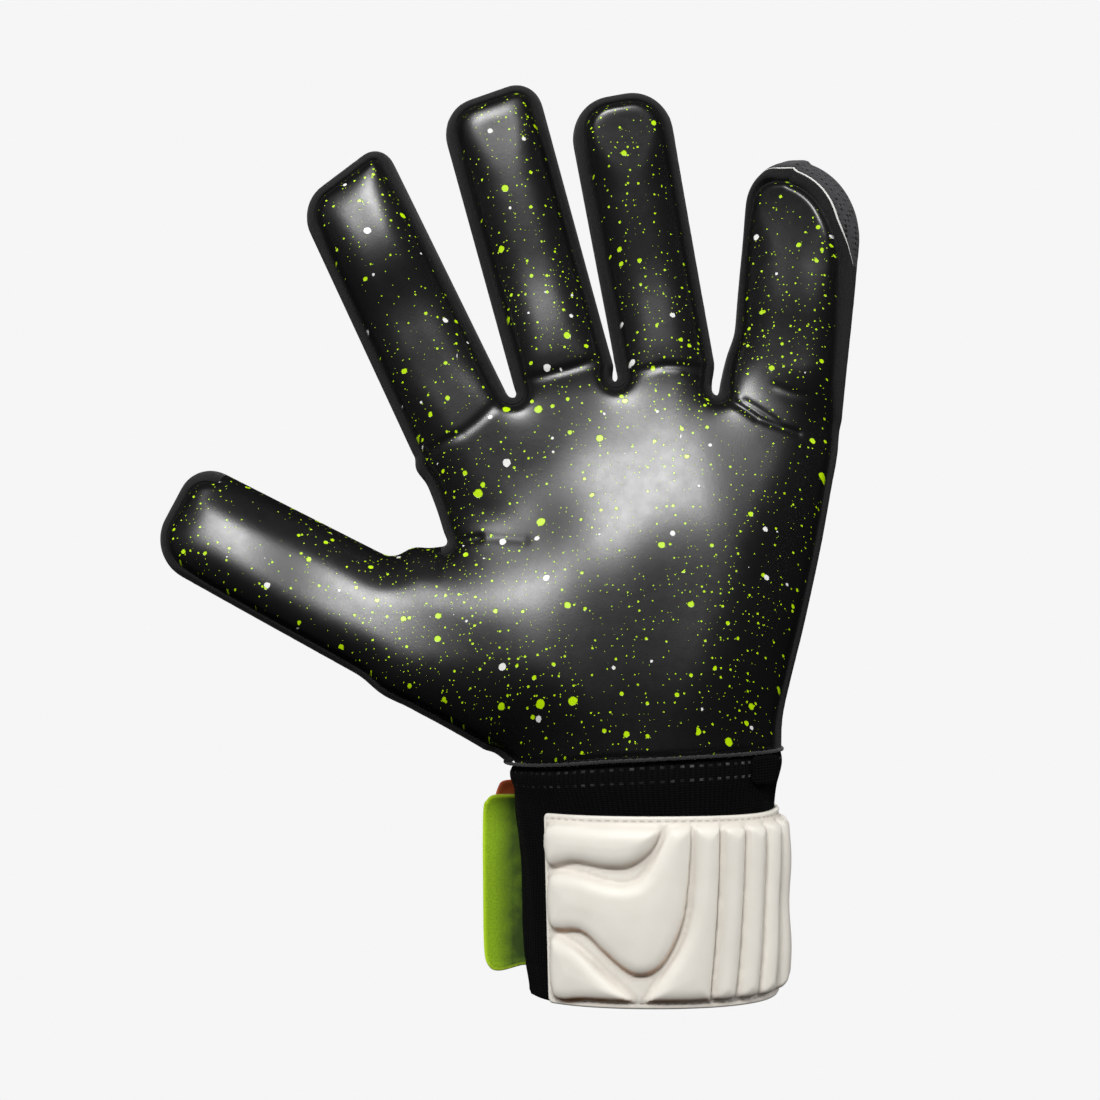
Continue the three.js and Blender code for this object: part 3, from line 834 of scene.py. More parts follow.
class Shader:
    """A small node tree writer."""

    def __init__(self, name, **principled):
        self.material = bpy.data.materials.new(name)
        self.material.use_nodes = True
        self.tree = self.material.node_tree
        self.bsdf = self.tree.nodes["Principled BSDF"]
        for key, value in principled.items():
            self.bsdf.inputs[key.replace("_", " ")].default_value = value

    def node(self, kind, values=(), **settings):
        made = self.tree.nodes.new("ShaderNode" + kind)
        for key, value in settings.items():
            setattr(made, key, value)
        for key, value in dict(values).items():
            self.put(made.inputs[key], value)
        return made

    def put(self, socket, value):
        if isinstance(value, bpy.types.NodeSocket):
            self.tree.links.new(value, socket)
        else:
            socket.default_value = value

    def math(self, operation, a, b=0.0, clamp=False):
        return self.node("Math", {0: a, 1: b}, operation=operation, use_clamp=clamp).outputs[0]

    def vector(self, operation, a, b):
        return self.node("VectorMath", {0: a, 1: b}, operation=operation).outputs[0]

    def place(self, unit=1.0):
        """Where the point is on the pattern, in units of so many millimetres."""
        found = self.node("Attribute", attribute_name="rest").outputs["Vector"]
        return self.vector("MULTIPLY", found, (1 / unit,) * 3)

    def split(self, vector):
        return self.node("SeparateXYZ", {0: vector}).outputs

    def stored(self, name):
        """A number stored at the mesh's points."""
        return self.node("Attribute", attribute_name=name).outputs["Fac"]

    def noise(self, unit, detail=2.0, roughness=0.5):
        values = {"Vector": self.place(unit), "Scale": 1.0, "Detail": detail, "Roughness": roughness}
        return self.node("TexNoise", values).outputs["Fac"]

    def cells(self, vector, scale=1.0, randomness=1.0, **settings):
        values = {"Vector": vector, "Scale": scale, "Randomness": randomness}
        return self.node("TexVoronoi", values, **settings).outputs

    def fit(self, value, low, high, to_low=0.0, to_high=1.0):
        values = {"Value": value, "From Min": low, "From Max": high, "To Min": to_low, "To Max": to_high}
        return self.node("MapRange", values).outputs["Result"]

    def mix(self, share, a, b):
        """The colour a, turning into b as share goes to 1."""
        return self.node("Mix", {0: share, 6: opaque(a), 7: opaque(b)}, data_type="RGBA").outputs[2]

    def bump(self, height, strength, distance, normal=None):
        values = {"Height": height, "Strength": strength, "Distance": distance * MM}
        if normal is not None:
            values["Normal"] = normal
        return self.node("Bump", values).outputs["Normal"]

    def set(self, **links):
        for key, value in links.items():
            self.put(self.bsdf.inputs[key.replace("_", " ")], value)
        return self.material


def splatter(shader, cell, radius, share, seed, ragged=0.25):
    """Drops of paint: a mask. Each cell of about `cell` millimetres may hold one drop, up to
    `radius` millimetres across its half width."""
    split = shader.split(shader.place())
    climb = shader.node("Math", {0: split[1], 1: 0.5, 2: split[2]}, operation="MULTIPLY_ADD").outputs[0]
    place = shader.node("CombineXYZ", {0: split[0], 1: climb}).outputs[0]
    uneven = shader.node("TexNoise", {"Vector": place, "Scale": 0.9 / radius, "Detail": 1.0})
    shifted = shader.vector("SUBTRACT", uneven.outputs["Color"], (0.5, 0.5, 0.5))
    push = shader.vector("MULTIPLY", shifted, (radius * ragged * 2,) * 3)
    ragged_place = shader.vector("ADD", place, push)
    moved = shader.vector("ADD", ragged_place, (seed * 31.7, seed * 17.3, seed * 5.9))
    scaled = shader.vector("MULTIPLY", moved, (1 / cell,) * 3)
    cells = shader.cells(scaled, voronoi_dimensions="2D")
    parts = shader.node("SeparateColor", {0: cells["Color"]}).outputs
    size = shader.math("POWER", parts[0], 1.6)
    size = shader.fit(size, 0, 1, 0.35 * radius / cell, radius / cell)
    depth = shader.math("SUBTRACT", size, cells["Distance"])
    drop = shader.fit(depth, 0, 0.12 * radius / cell)
    crowd = shader.noise(34.0, detail=1.0)
    limit = shader.fit(crowd, 0.3, 0.7, share * 0.35, share * 1.6)
    kept = shader.math("LESS_THAN", parts[1], limit)
    return shader.math("MULTIPLY", drop, kept)


def splatters(shader, sizes):
    """One mask of several sizes of drops."""
    total = splatter(shader, *sizes[0])
    for size in sizes[1:]:
        total = shader.math("MAXIMUM", total, splatter(shader, *size))
    return total


# Paint drops: cell, radius, share of the cells that hold one, and seed.
LIME_DROPS = [(9.0, 1.3, 0.26, 1), (5.0, 0.72, 0.20, 2), (2.6, 0.38, 0.32, 3), (1.6, 0.22, 0.26, 4)]
WHITE_DROPS = [(13.0, 1.2, 0.30, 5), (6.0, 0.45, 0.06, 6)]


def latex_material():
    """Satin black latex with paint drops; next to its seam it is rough and without drops, with painted shade
    darkening the groove.
    """
    shader = Shader("latex", Specular_IOR_Level=0.75)
    lime, white = splatters(shader, LIME_DROPS), splatters(shader, WHITE_DROPS)
    tone = shader.noise(18.0, detail=3.0)
    paint = shader.mix(tone, (0.0045, 0.0045, 0.0047), (0.007, 0.007, 0.0073))
    paint = shader.mix(lime, paint, (0.50, 0.80, 0.0))
    paint = shader.mix(white, paint, (0.8, 0.8, 0.78))
    grain = shader.noise(0.55)
    soft = shader.noise(3.5, detail=3.0, roughness=0.6)
    rough = shader.fit(soft, 0.3, 0.7, 0.33, 0.37)
    normal = shader.bump(grain, 0.10, 0.12)
    normal = shader.bump(soft, 0.02, 0.5, normal)
    normal = shader.bump(shader.math("MAXIMUM", lime, white), 0.5, 0.12, normal)
    # painted shade: the latex is darker, and rougher, in the groove next to its seam
    clear_of_seam_shade = shader.fit(shader.stored("seam"), 0.2, 0.9)
    paint = shader.mix(clear_of_seam_shade, (0.002, 0.002, 0.002), paint)
    rough = shader.math("ADD", rough, shader.fit(clear_of_seam_shade, 0, 1, 0.4, 0.0))
    return shader.set(Base_Color=paint, Roughness=rough, Normal=normal)


def fabric_material(name, dark, light, pitch, sheen=0.15):
    """A fine knit: rows of loops so many millimetres apart, with fuzz and uneven dye."""
    shader = Shader(name, Sheen_Weight=sheen, Sheen_Roughness=0.5, Specular_IOR_Level=0.12)
    loops = shader.cells(shader.place(pitch), randomness=0.35)["Distance"]
    fuzz = shader.noise(0.9, detail=4.0, roughness=0.7)
    dye = shader.noise(14.0, detail=3.0)
    bright_loops = shader.fit(loops, 0.1, 0.7, 1.0, 0.35)
    share = shader.math("MULTIPLY", bright_loops, shader.fit(fuzz, 0.3, 0.7, 0.6, 1.0))
    share = shader.math("MULTIPLY", share, shader.fit(dye, 0.3, 0.7, 0.8, 1.0))
    normal = shader.bump(loops, 0.35, 0.25)
    normal = shader.bump(fuzz, 0.25, 0.3, normal)
    return shader.set(Base_Color=shader.mix(share, dark, light), Roughness=0.9, Normal=normal)


def mesh_material():
    """Spacer mesh: small holes in staggered rows over dark foam, with a coral band."""
    shader = Shader("backhand_mesh", Sheen_Weight=0.1, Specular_IOR_Level=0.2)
    holes = shader.cells(shader.place(1.5), randomness=0.12)["Distance"]
    depth = shader.fit(holes, 0.18, 0.42)
    fuzz = shader.noise(0.8, detail=3.0)
    lit = shader.math("MULTIPLY", depth, shader.fit(fuzz, 0.3, 0.7, 0.6, 1.0))
    dyed = shader.mix(lit, (0.004, 0.004, 0.004), (0.052, 0.052, 0.055))
    dyed = shader.mix(shader.fit(shader.stored("accent"), 0.45, 0.55), dyed, (0.75, 0.13, 0.05))
    return shader.set(Base_Color=dyed, Roughness=0.85, Normal=shader.bump(depth, 0.8, 0.5))


LATEX = latex_material()
GUSSET = fabric_material("gusset_knit", (0.006, 0.006, 0.006), (0.024, 0.024, 0.0245), pitch=0.6, sheen=0.06)
MESH = mesh_material()
FOAM = fabric_material("foam_edge", (0.5, 0.5, 0.48), (0.85, 0.85, 0.82), pitch=0.5)
LINING = fabric_material("lining_jersey", (0.006, 0.006, 0.007), (0.02, 0.02, 0.022), pitch=0.8)


def dress(obj, material, replaces=()):
    obj.data.materials.append(material)
    if replaces:
        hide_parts(*replaces)
    return obj


# ---- the sewn glove --------------------------------------------------------------------------

CAD_NODES = {
    "latex": {"hand": ["palm_latex"], "lower": ["{}_latex_lower"], "upper": ["{}_latex_upper"]},
    "gusset": {
        "hand": ["outer_side_gusset", "index_side_gusset", "thumb_side_gusset"],
        "lower": ["{}_gusset_lower_inner", "{}_gusset_lower_outer"],
        "upper": ["{}_gusset_upper"],
    },
    "mesh": {"hand": ["backhand_panel"], "lower": ["{}_back_lower"], "upper": ["{}_back_upper"]},
    "lining": {"hand": ["palm_lining", "backhand_lining"]},
}


def stands_for(kind, zone):
    """The CAD nodes that a zone of a layer replaces."""
    digit, _, part = zone.rpartition("_")
    return [node.format(digit) for node in CAD_NODES.get(kind, {}).get(part, [])]


def build_glove():
    layers = {
        "latex": (latex_layer(), LATEX, "latex"),
        "gusset": (gusset_layer(), GUSSET, "gusset"),
        "foam_edge": (foam_layer(), FOAM, "mesh"),
        "mesh": (back_layer(), MESH, "mesh"),
        "tip_mesh": (tip_layer(TIP_MESH_RINGS), MESH, "mesh"),
        "tip_foam": (tip_layer(TIP_FOAM_RINGS), FOAM, "mesh"),
        "lining": (lining_layer(), LINING, "lining"),
    }
    for kind, (layer, material, slot) in layers.items():
        for zone, faces in layer.cut().items():
            obj = layer.piece(f"{zone}_{kind}_skin", faces)
            dress(obj, material, stands_for(kind, zone))
            if kind == "gusset":
                roll_latex_over(obj)
            attach(obj, zone)


def roll_latex_over(obj):
    """Gives the faces along the thumb's upper edge the latex."""
    obj.data.materials.append(LATEX)
    rolled = obj.data.attributes["rolled"].data
    for face in obj.data.polygons:
        if sum(rolled[k].value for k in face.vertices) > 2:
            face.material_index = 1


build_glove()

# ---- wrist: cuff, strap and tab --------------------------------------------------------------

# The strap lies round an ellipse: its half widths, its height range and its two ends in degrees.
STRAP = dict(a=36.2, b=28.6, bottom=1.0, top=54.6, start=-142.0, end=140.0)
FLAP = 1.9  # the strap's thickness at its thin border
CUFF_RADIUS = 31.4  # the cuff's mean radius, which turns its angles into lengths
PAD_RISE = 3.0
STRAP_CORNER = 1.6
STRAP_GRID = 0.62

# The strap's moulded pads, in (along, up): along is measured round the strap from its sewn end.
PADS = [
    [(3.2, 51.6), (20, 51.8), (34.6, 51.8), (36.4, 50.2), (33.6, 45), (28, 41), (22, 40.4), (12, 41.6),
     (3.2, 40.2)],
    [(3.4, 37), (12, 38.4), (21, 36.2), (28, 36.0), (33, 39.6), (38.2, 50), (40.5, 52), (44.6, 51.8),
     (45.6, 50), (45.2, 40), (43.6, 27), (40.2, 18), (36, 12.4), (31.2, 10.4), (26.5, 11.8), (20, 17),
     (13.6, 22.2), (3.4, 22.8)],
    [(3.4, 19.4), (9.5, 19.0), (14.5, 16.2), (21, 10.5), (28.2, 4.4), (27, 3.2), (15, 3.2), (3.8, 3.4)],
    [(46.6, 51.4), (48, 52), (53.4, 52), (54.6, 50.8), (53.8, 28), (51.6, 4), (50.4, 3.2), (34, 3.2),
     (33, 4.2), (37.6, 11.4), (42.2, 18.6), (45, 27), (46.3, 40)],
]
RIB_PITCH = 8.6
FIRST_RIB = 55.5


def rib(start, lean):
    """One upright rib of the strap, its foot shifted by lean towards the sewn end."""
    end = start + (RIB_PITCH - 0.7)
    return [
        (start, 49.6), (start + 0.7, 51.4), (start + 2.4, 52.0),
        (end - 2.4, 52.0), (end - 0.7, 51.4), (end, 49.6),
        (end - lean * 0.2, 34), (end - lean * 0.6, 16),
        (end - lean, 5.2), (end - 0.8 - lean, 3.6), (end - 2.4 - lean, 3.1),
        (start + 2.4 - lean, 3.1), (start + 0.8 - lean, 3.6), (start - lean, 5.2),
        (start - lean * 0.6, 16), (start - lean * 0.2, 34),
    ]


def back_pads(from_along, to_along):
    """The pads round the back: a field of nested arcs, which ends at a plain flap under the tab."""
    middle = (from_along + to_along) / 2
    width = to_along - from_along
    pads_found = []
    for low, high, sag in ((38.5, 51.8, 5.0), (21.5, 36.9, 5.0), (3.4, 19.9, 5.0)):
        across = np.linspace(from_along + 0.6, to_along - 3.4, 7)
        dip = sag * (1 - ((across - middle) / (width / 2)) ** 2)
        top = [(x, min(high - d + 1.5, 51.8)) for x, d in zip(across, dip)]
        base = [(x, max(low - d + 1.5, 3.4)) for x, d in zip(across[::-1], dip[::-1])]
        pads_found.append(top + base)
    return pads_found


def arc_table(a, b, low, high, count=2400):
    """Angles and lengths along an ellipse between two angles in degrees."""
    angles = np.radians(np.linspace(low, high, count))
    x, y = a * np.cos(angles), b * np.sin(angles)
    return angles, np.r_[0, np.cumsum(np.hypot(np.diff(x), np.diff(y)))]


def clipped_grid(inside, low, high, spacing):
    """Cells of a grid whose middle has inside(points) > 0, with the outer ring moved onto 0."""
    xs = np.linspace(low[0], high[0], int(round((high[0] - low[0]) / spacing)) + 1)
    zs = np.linspace(low[1], high[1], int(round((high[1] - low[1]) / spacing)) + 1)
    gx, gz = np.meshgrid(xs, zs, indexing="ij")
    points = np.column_stack([gx.ravel(), gz.ravel()])
    index_of = np.arange(len(points)).reshape(gx.shape)
    corners = (index_of[:-1, :-1], index_of[1:, :-1], index_of[1:, 1:], index_of[:-1, 1:])
    quads = np.column_stack([c.ravel() for c in corners])
    quads = quads[inside(points[quads].mean(axis=1)) > 0]
    used, local = np.unique(quads, return_inverse=True)
    quads, points = local.reshape(quads.shape), points[used]
    rim = np.bincount(quads.ravel(), minlength=len(used)) < 4
    edge = points[rim]
    for _ in range(3):
        here = inside(edge)
        steps = 0.1 * np.eye(2)
        slope = np.column_stack([(inside(edge + step) - inside(edge - step)) / 0.2 for step in steps])
        edge = edge - (here / np.maximum((slope**2).sum(1), 0.3))[:, None] * slope
    points[rim] = edge
    return points, quads


def shell_mesh(name, front, back, quads, rest, extra=None):
    """A closed plate: a front skin, a back skin and the wall between their edges."""
    count = len(front)
    edges = np.concatenate([quads[:, [k, (k + 1) % 4]] for k in range(4)])
    seen = {tuple(edge) for edge in edges.tolist()}
    rim = [(a, b) for a, b in seen if (b, a) not in seen]
    walls = [(b, a, a + count, b + count) for a, b in rim]
    faces = quads.tolist() + (quads[:, ::-1] + count).tolist() + walls
    space = np.vstack([front, back])
    values = {key: np.r_[value, np.zeros(count)] for key, value in (extra or {}).items()}
    return make_mesh(name, space, faces, np.vstack([rest, rest]), None, values)


def rounded_box(points, low, high, radius):
    """Distance inside a box with rounded corners."""
    middle_of = (np.array(low) + high) / 2
    half = (np.array(high) - low) / 2 - radius
    over = np.abs(points - middle_of) - half
    outside = np.linalg.norm(np.maximum(over, 0), axis=1)
    return radius - outside - np.minimum(over.max(axis=1), 0)


def strap_material():
    """Cream foam rubber: fine pores, painted shade in tan on the pads' downward walls and darker in the
    grooves between them, and dashed stitches.
    """
    shader = Shader("strap_rubber", Roughness=0.5)
    pores = shader.cells(shader.place(), scale=1.6)["Distance"]
    cloud = shader.noise(9.0, detail=4.0)
    tint = shader.mix(cloud, (0.74, 0.70, 0.625), (0.83, 0.80, 0.73))
    # painted shade: tan on the pads' downward walls, in blotches, and a darker tint in the grooves between
    # the pads
    blotch = shader.fit(shader.noise(6.0, detail=3.0), 0.3, 0.65, 0.55, 1.0)
    painted_tan_shade = shader.math("MULTIPLY", shader.stored("under"), blotch, clamp=True)
    tint = shader.mix(shader.math("MULTIPLY", shader.stored("groove"), 0.25), tint, (0.50, 0.42, 0.36))
    tint = shader.mix(painted_tan_shade, tint, (0.46, 0.20, 0.065))
    stitch = stitches(shader, "edge", 1.35, 0.32, 2.5)
    tint = shader.mix(shader.math("MULTIPLY", stitch, 0.4), tint, (0.42, 0.35, 0.33))
    normal = shader.bump(pores, 0.06, 0.15)
    normal = shader.bump(cloud, 0.12, 0.6, normal)
    normal = shader.bump(stitch, 0.5, -0.3, normal)
    return shader.set(Base_Color=tint, Normal=normal)


def stitches(shader, across, where, half_width, pitch, share=0.6):
    """A mask of dashes where the `across` attribute is about `where`."""
    off = shader.math("ABSOLUTE", shader.math("SUBTRACT", shader.stored(across), where))
    on_line = shader.fit(off, half_width, half_width * 0.6)
    phase = shader.math("FRACT", shader.math("DIVIDE", shader.stored("run"), pitch))
    off_dash = shader.math("ABSOLUTE", shader.math("SUBTRACT", phase, 0.5))
    dash = shader.fit(off_dash, share / 2, share / 2 - 0.08)
    return shader.math("MULTIPLY", on_line, dash)


def strap_outlines(total):
    """The outlines of all the pads, ribs and back pads of a strap of this length."""
    outlines = [rounded(pad, 4) for pad in PADS]
    start = FIRST_RIB
    while start < total - 62:
        outlines.append(rounded(rib(start, 3.4 if start < 80 else 1.0), 4))
        start += RIB_PITCH
    return outlines + [rounded(pad, 4) for pad in back_pads(start + 0.6, total - 6)]


def close_to(points, outline, margin):
    low, high = outline.min(axis=0) - margin, outline.max(axis=0) + margin
    return (points > low).all(axis=1) & (points < high).all(axis=1)


def pad_depths(points, outlines):
    """How far inside a pad each point is, negative between the pads."""
    depths = np.full(len(points), -5.0)
    for outline in outlines:
        near = close_to(points, outline, 3)
        depths[near] = np.maximum(depths[near], inside_polygon(points[near], outline))
    return depths


def undersides(points, outlines):
    """1 on the walls of the pads that face down, where the strap gets its painted tan shade."""
    found = np.zeros(len(points))
    for outline in outlines:
        near = close_to(points, outline, 2)
        here = inside_polygon(points[near], outline)
        above = inside_polygon(points[near] + np.array([0, 0.4]), outline)
        steep = np.clip((above - here) / 0.4, 0, 1) * smooth(-0.7, 0.1, here) * smooth(1.7, 0.5, here)
        found[near] = np.maximum(found[near], steep)
    return found


def build_strap():
    a, b = STRAP["a"], STRAP["b"]
    bottom, top = STRAP["bottom"], STRAP["top"]
    angles, lengths = arc_table(a + 4.2, b + 4.2, STRAP["start"], STRAP["end"])
    total = lengths[-1]
    outlines = strap_outlines(total)
    low, high = (0, bottom), (total, top)

    def inside(points):
        return rounded_box(points, low, high, STRAP_CORNER)

    points, quads = clipped_grid(inside, low, high, STRAP_GRID)
    x, z = points.T
    pad_depth = pad_depths(points, outlines)
    lift = PAD_RISE * rise(np.maximum(pad_depth, 0) / 4.2, 2.1) + 0.35 * smooth(1, 9, pad_depth)
    edge = np.maximum(inside(points), 0)
    height = FLAP + lift - 0.45 * bump(edge, 1.35, 0.5)
    height += 0.35 * smooth(60, 100, x) * np.sin(z / 4.1 + 0.05 * x)
    height -= 0.5 * smooth(0.8, 0, edge)
    along = x - 2.2 * (z / top) * smooth(30, 0, x)
    angle = np.interp(along, lengths, angles)
    angle = np.where(along < 0, angles[0] + along / 36, angle)
    droop = 0.9 * np.sin((x - 10) / 16) * smooth(100, 70, x)
    up = z + droop * 0.35

    def around(offset):
        return np.column_stack([(a + offset) * np.cos(angle), (b + offset) * np.sin(angle), up])

    on_left = smooth(60, 40, x) * smooth(44, 30, z)
    at_end = np.minimum(x, total - x) < np.minimum(z - bottom, top - z)
    extra = {
        # painted shade: tan on the pads' downward walls, more of it on the left, and darker in the grooves
        "under": undersides(points, outlines) * (0.2 + 0.8 * on_left),
        "groove": (np.abs(pad_depth) < 1.6) * smooth(1.0, 0, pad_depth),
        "edge": edge,
        "run": np.where(at_end, z, x),
    }
    rest = np.column_stack([x, np.zeros(len(points)), z])
    strap = shell_mesh("wrist_strap_skin", around(height), around(0), quads, rest, extra)
    dress(strap, strap_material(), ["wrist_strap_front", "wrist_strap_back"])
    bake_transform(strap)


# The cuff's half width, half depth, middle and how far its left side swells, by height.
CUFF_WIDTH = [(0, 35.0), (8, 35.5), (50, 35.7), (60, 37.6), (68, 39.6), (73, 38.6)]
CUFF_DEPTH = [(0, 24.6), (8, 25.0), (54, 25.1), (68, 25.3), (73, 23.6)]
CUFF_MIDDLE = [(0, 0), (52, 0), (68, -1.1), (73, -0.9)]
CUFF_SWELL = [(0, 0.2), (10, 1.2), (36, 3.0), (52, 3.2), (66, 0.4)]


def elastic_material():
    """Knitted elastic: upright ribs crossed by fine rows, with two rows of light stitches."""
    shader = Shader("elastic_knit", Sheen_Weight=0.01, Specular_IOR_Level=0.05, Roughness=0.85)
    split = shader.split(shader.place())
    ribs = shader.math("SINE", shader.math("MULTIPLY", split[0], 2 * math.pi / 1.25))
    rows = shader.math("SINE", shader.math("MULTIPLY", split[2], 2 * math.pi / 0.8))
    knit = shader.math("ADD", ribs, shader.math("MULTIPLY", rows, 0.7))
    fuzz = shader.noise(0.7, detail=4.0, roughness=0.7)
    bright_knit = shader.fit(knit, -1.5, 1.5, 0.2, 1.0)
    lit = shader.math("MULTIPLY", bright_knit, shader.fit(fuzz, 0.35, 0.7, 0.3, 1.0))
    thread = shader.mix(lit, (0.0008, 0.0008, 0.0008), (0.005, 0.005, 0.0053))
    lines = [stitches(shader, "seam", below, 0.42, 2.3, 0.5) for below in (2.4, 6.2)]
    stitch = shader.math("MAXIMUM", *lines)
    patchy = shader.fit(shader.noise(5.0), 0.45, 0.62, 0.12, 1.0)
    both = shader.math("MULTIPLY", stitch, patchy)
    both = shader.math("MULTIPLY", both, shader.fit(shader.stored("run"), 125.0, 168.0, 0.25, 1.0))
    thread = shader.mix(shader.math("MULTIPLY", both, 0.45), thread, (0.20, 0.20, 0.20))
    normal = shader.bump(knit, 0.5, 0.2)
    normal = shader.bump(fuzz, 0.3, 0.25, normal)
    normal = shader.bump(both, 0.5, 0.3, normal)
    return shader.set(Base_Color=thread, Normal=normal)


def tube_faces(rings, count):
    """Quads between rings of so many points each, closed both ways."""
    faces = []
    for r in range(rings):
        low, high = r * count, (r + 1) % rings * count
        for i in range(count):
            j = (i + 1) % count
            faces.append((low + i, low + j, high + j, high + i))
    return faces


def cuff_ring(angles, up, less):
    """The cuff's points at a height, so much less than its full size, and how far the wrist seam is
    above each of them."""
    tables = (CUFF_WIDTH, CUFF_DEPTH, CUFF_MIDDLE, CUFF_SWELL)
    wide, deep, middle_x, swell = (float(curve(up, table)) for table in tables)
    outside = less == 0
    above = max(0.0, (up - 56) / 12)
    ripple = 0.16 * np.sin(angles * 21 + up / 9) * outside
    hem = 0.35 * float(bump(up, 9.5, 0.7)) * outside
    x = (wide - less + swell * bump(angles, math.pi, 0.62) + ripple - hem) * np.cos(angles) + middle_x
    y = (deep - less + ripple - hem) * np.sin(angles)
    z = up + 0.05 * (x + 41) * above - 4 * above + 0.12 * np.sin(angles * 9) * outside
    z = np.maximum(z, 0)
    seam = WRIST_Z + curve(x, WRIST_CLIMB) - z if outside else np.full(len(angles), 50.0)
    return np.column_stack([x, y, z]), seam


def build_cuff():
    count = 420
    wall = 2.1
    angles = np.linspace(0, 2 * math.pi, count, endpoint=False)
    run = angles * CUFF_RADIUS
    rows = [(up, 0.0) for up in np.linspace(0.6, 71.5, 96)]
    rows += [(72.6, 1.0), (72.4, 2.6), (70, 3.4)]
    rows += [(up, wall) for up in np.linspace(66, 1.2, 34)]
    rows += [(0.2, 1.6), (0.0, 0.8)]
    space, seam = zip(*[cuff_ring(angles, up, less) for up, less in rows])
    rest = [np.column_stack([run, np.full(count, less), np.full(count, up)]) for up, less in rows]
    extra = {"seam": np.concatenate(seam), "run": np.tile(run, len(rows))}
    faces = tube_faces(len(rows), count)
    cuff = make_mesh("elastic_cuff_skin", np.vstack(space), faces, np.vstack(rest), None, extra)
    dress(cuff, elastic_material(), ["elastic_cuff"])
    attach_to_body(cuff, "hand")


def sheet(name, inside, low, high, spacing, front, back, extra=None):
    """A closed sheet over part of a flat pattern: front and back give each point's place."""
    points, quads = clipped_grid(inside, low, high, spacing)
    rest = np.column_stack([points[:, 0], np.zeros(len(points)), points[:, 1]])
    values = {key: make(points) for key, make in (extra or {}).items()}
    return shell_mesh(name, front(points), back(points), quads, rest, values)


def wrapped_patch(name, a, b, thickness, from_angle, to_angle, bottom, top, radius=2.0):
    """A sheet that lies round an ellipse, from its inner half widths."""
    angles, lengths = arc_table(a, b, from_angle, to_angle)
    low, high = (0, bottom), (lengths[-1], top)

    def inside(points):
        return rounded_box(points, low, high, radius)

    def outer(points):
        return around(points, thickness + 0.12 * wobble(points, 5, 3))

    def around(points, offset=0):
        angle = np.interp(points[:, 0], lengths, angles)
        return np.column_stack([(a + offset) * np.cos(angle), (b + offset) * np.sin(angle), points[:, 1]])

    return sheet(name, inside, low, high, 0.8, outer, around, {"run": lambda at: at.sum(axis=1)})


def bristle_material(name, dark, light, pitch):
    """Hooks or loops: dense little tufts."""
    shader = Shader(name, Roughness=0.8)
    tufts = shader.cells(shader.place(pitch), randomness=0.7)["Distance"]
    share = shader.fit(tufts, 0.1, 0.6, 1.0, 0.0)
    return shader.set(Base_Color=shader.mix(share, dark, light), Normal=shader.bump(share, 0.9, 0.6))


def build_fasteners():
    pile = bristle_material("loop_pile", (0.004, 0.004, 0.004), (0.03, 0.03, 0.03), 0.9)
    tape = bristle_material("hook_tape", (0.003, 0.003, 0.003), (0.045, 0.045, 0.045), 1.3)
    for name, a, b, material, node, body in (
        ("cuff_loop_skin", 35.9, 25.3, pile, "cuff_loop_patch", "hand"),
        ("strap_hook_skin", 34.9, 27.3, tape, "strap_hook_patch", "strap_free_end"),
    ):
        patch = wrapped_patch(name, a, b, 1.0, 60, 120, 10, 46)
        dress(patch, material, [node])
        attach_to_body(patch, body)


# The outlines of the pull tab and its backing, and the line they follow from the strap's end, seen
# from the palm side.
TAB_OUTLINE = [
    (-27.5, 54.6), (-36, 55.2), (-45.4, 55.3), (-48.4, 53.6), (-49.5, 49.5), (-49.5, 28), (-49.2, 9),
    (-47.8, 3.6), (-44.6, 2.2), (-38, 3.8), (-27.5, 6.4), (-27, 30),
]
BACKING_OUTLINE = [
    (-27.5, 56), (-36, 59.2), (-42.6, 59.4), (-45, 57.4), (-46.4, 50), (-47.2, 28), (-47.0, 10),
    (-45.6, 6), (-42, 4.6), (-36, 5.6), (-27.5, 8), (-27, 30),
]
TAB_PATH = [(-50, 21.2), (-37, 21.6), (-33, 22.4), (-30, 24.5), (-27, 26.9)]


def tab_material():
    """Lime felt, rough, with painted shade that turns it a patchy dark olive towards the cuff."""
    shader = Shader("tab_felt", Sheen_Weight=0.35, Sheen_Roughness=0.4, Roughness=0.85)
    across = shader.split(shader.place())[0]
    fuzz = shader.noise(0.6, detail=5.0, roughness=0.75)
    cloud = shader.noise(7.0, detail=4.0, roughness=0.6)
    patchy = shader.fit(cloud, 0.3, 0.62, 0.75, 1.0)
    # painted shade: the felt darkens to olive towards the cuff, in patches
    painted_cuff_shade = shader.math("MULTIPLY", shader.fit(across, -48.5, -40.5), patchy)
    felt = shader.mix(painted_cuff_shade, (0.36, 0.62, 0.003), (0.028, 0.062, 0.001))
    felt = shader.mix(shader.fit(fuzz, 0.42, 0.75, 0.0, 0.55), felt, (0.03, 0.07, 0.002))
    border = shader.fit(shader.stored("edge"), 1.1, 0.3, 0.0, 0.8)
    felt = shader.mix(border, felt, (0.56, 0.80, 0.01))
    return shader.set(Base_Color=felt, Normal=shader.bump(fuzz, 0.7, 0.5))


def coral_material():
    """Smooth coral rubber with faint moulding marks."""
    shader = Shader("coral_rubber", Roughness=0.5)
    cloud = shader.noise(5.0, detail=4.0)
    rubber = shader.mix(cloud, (0.52, 0.085, 0.030), (0.66, 0.14, 0.05))
    return shader.set(Base_Color=rubber, Normal=shader.bump(cloud, 0.15, 0.4))


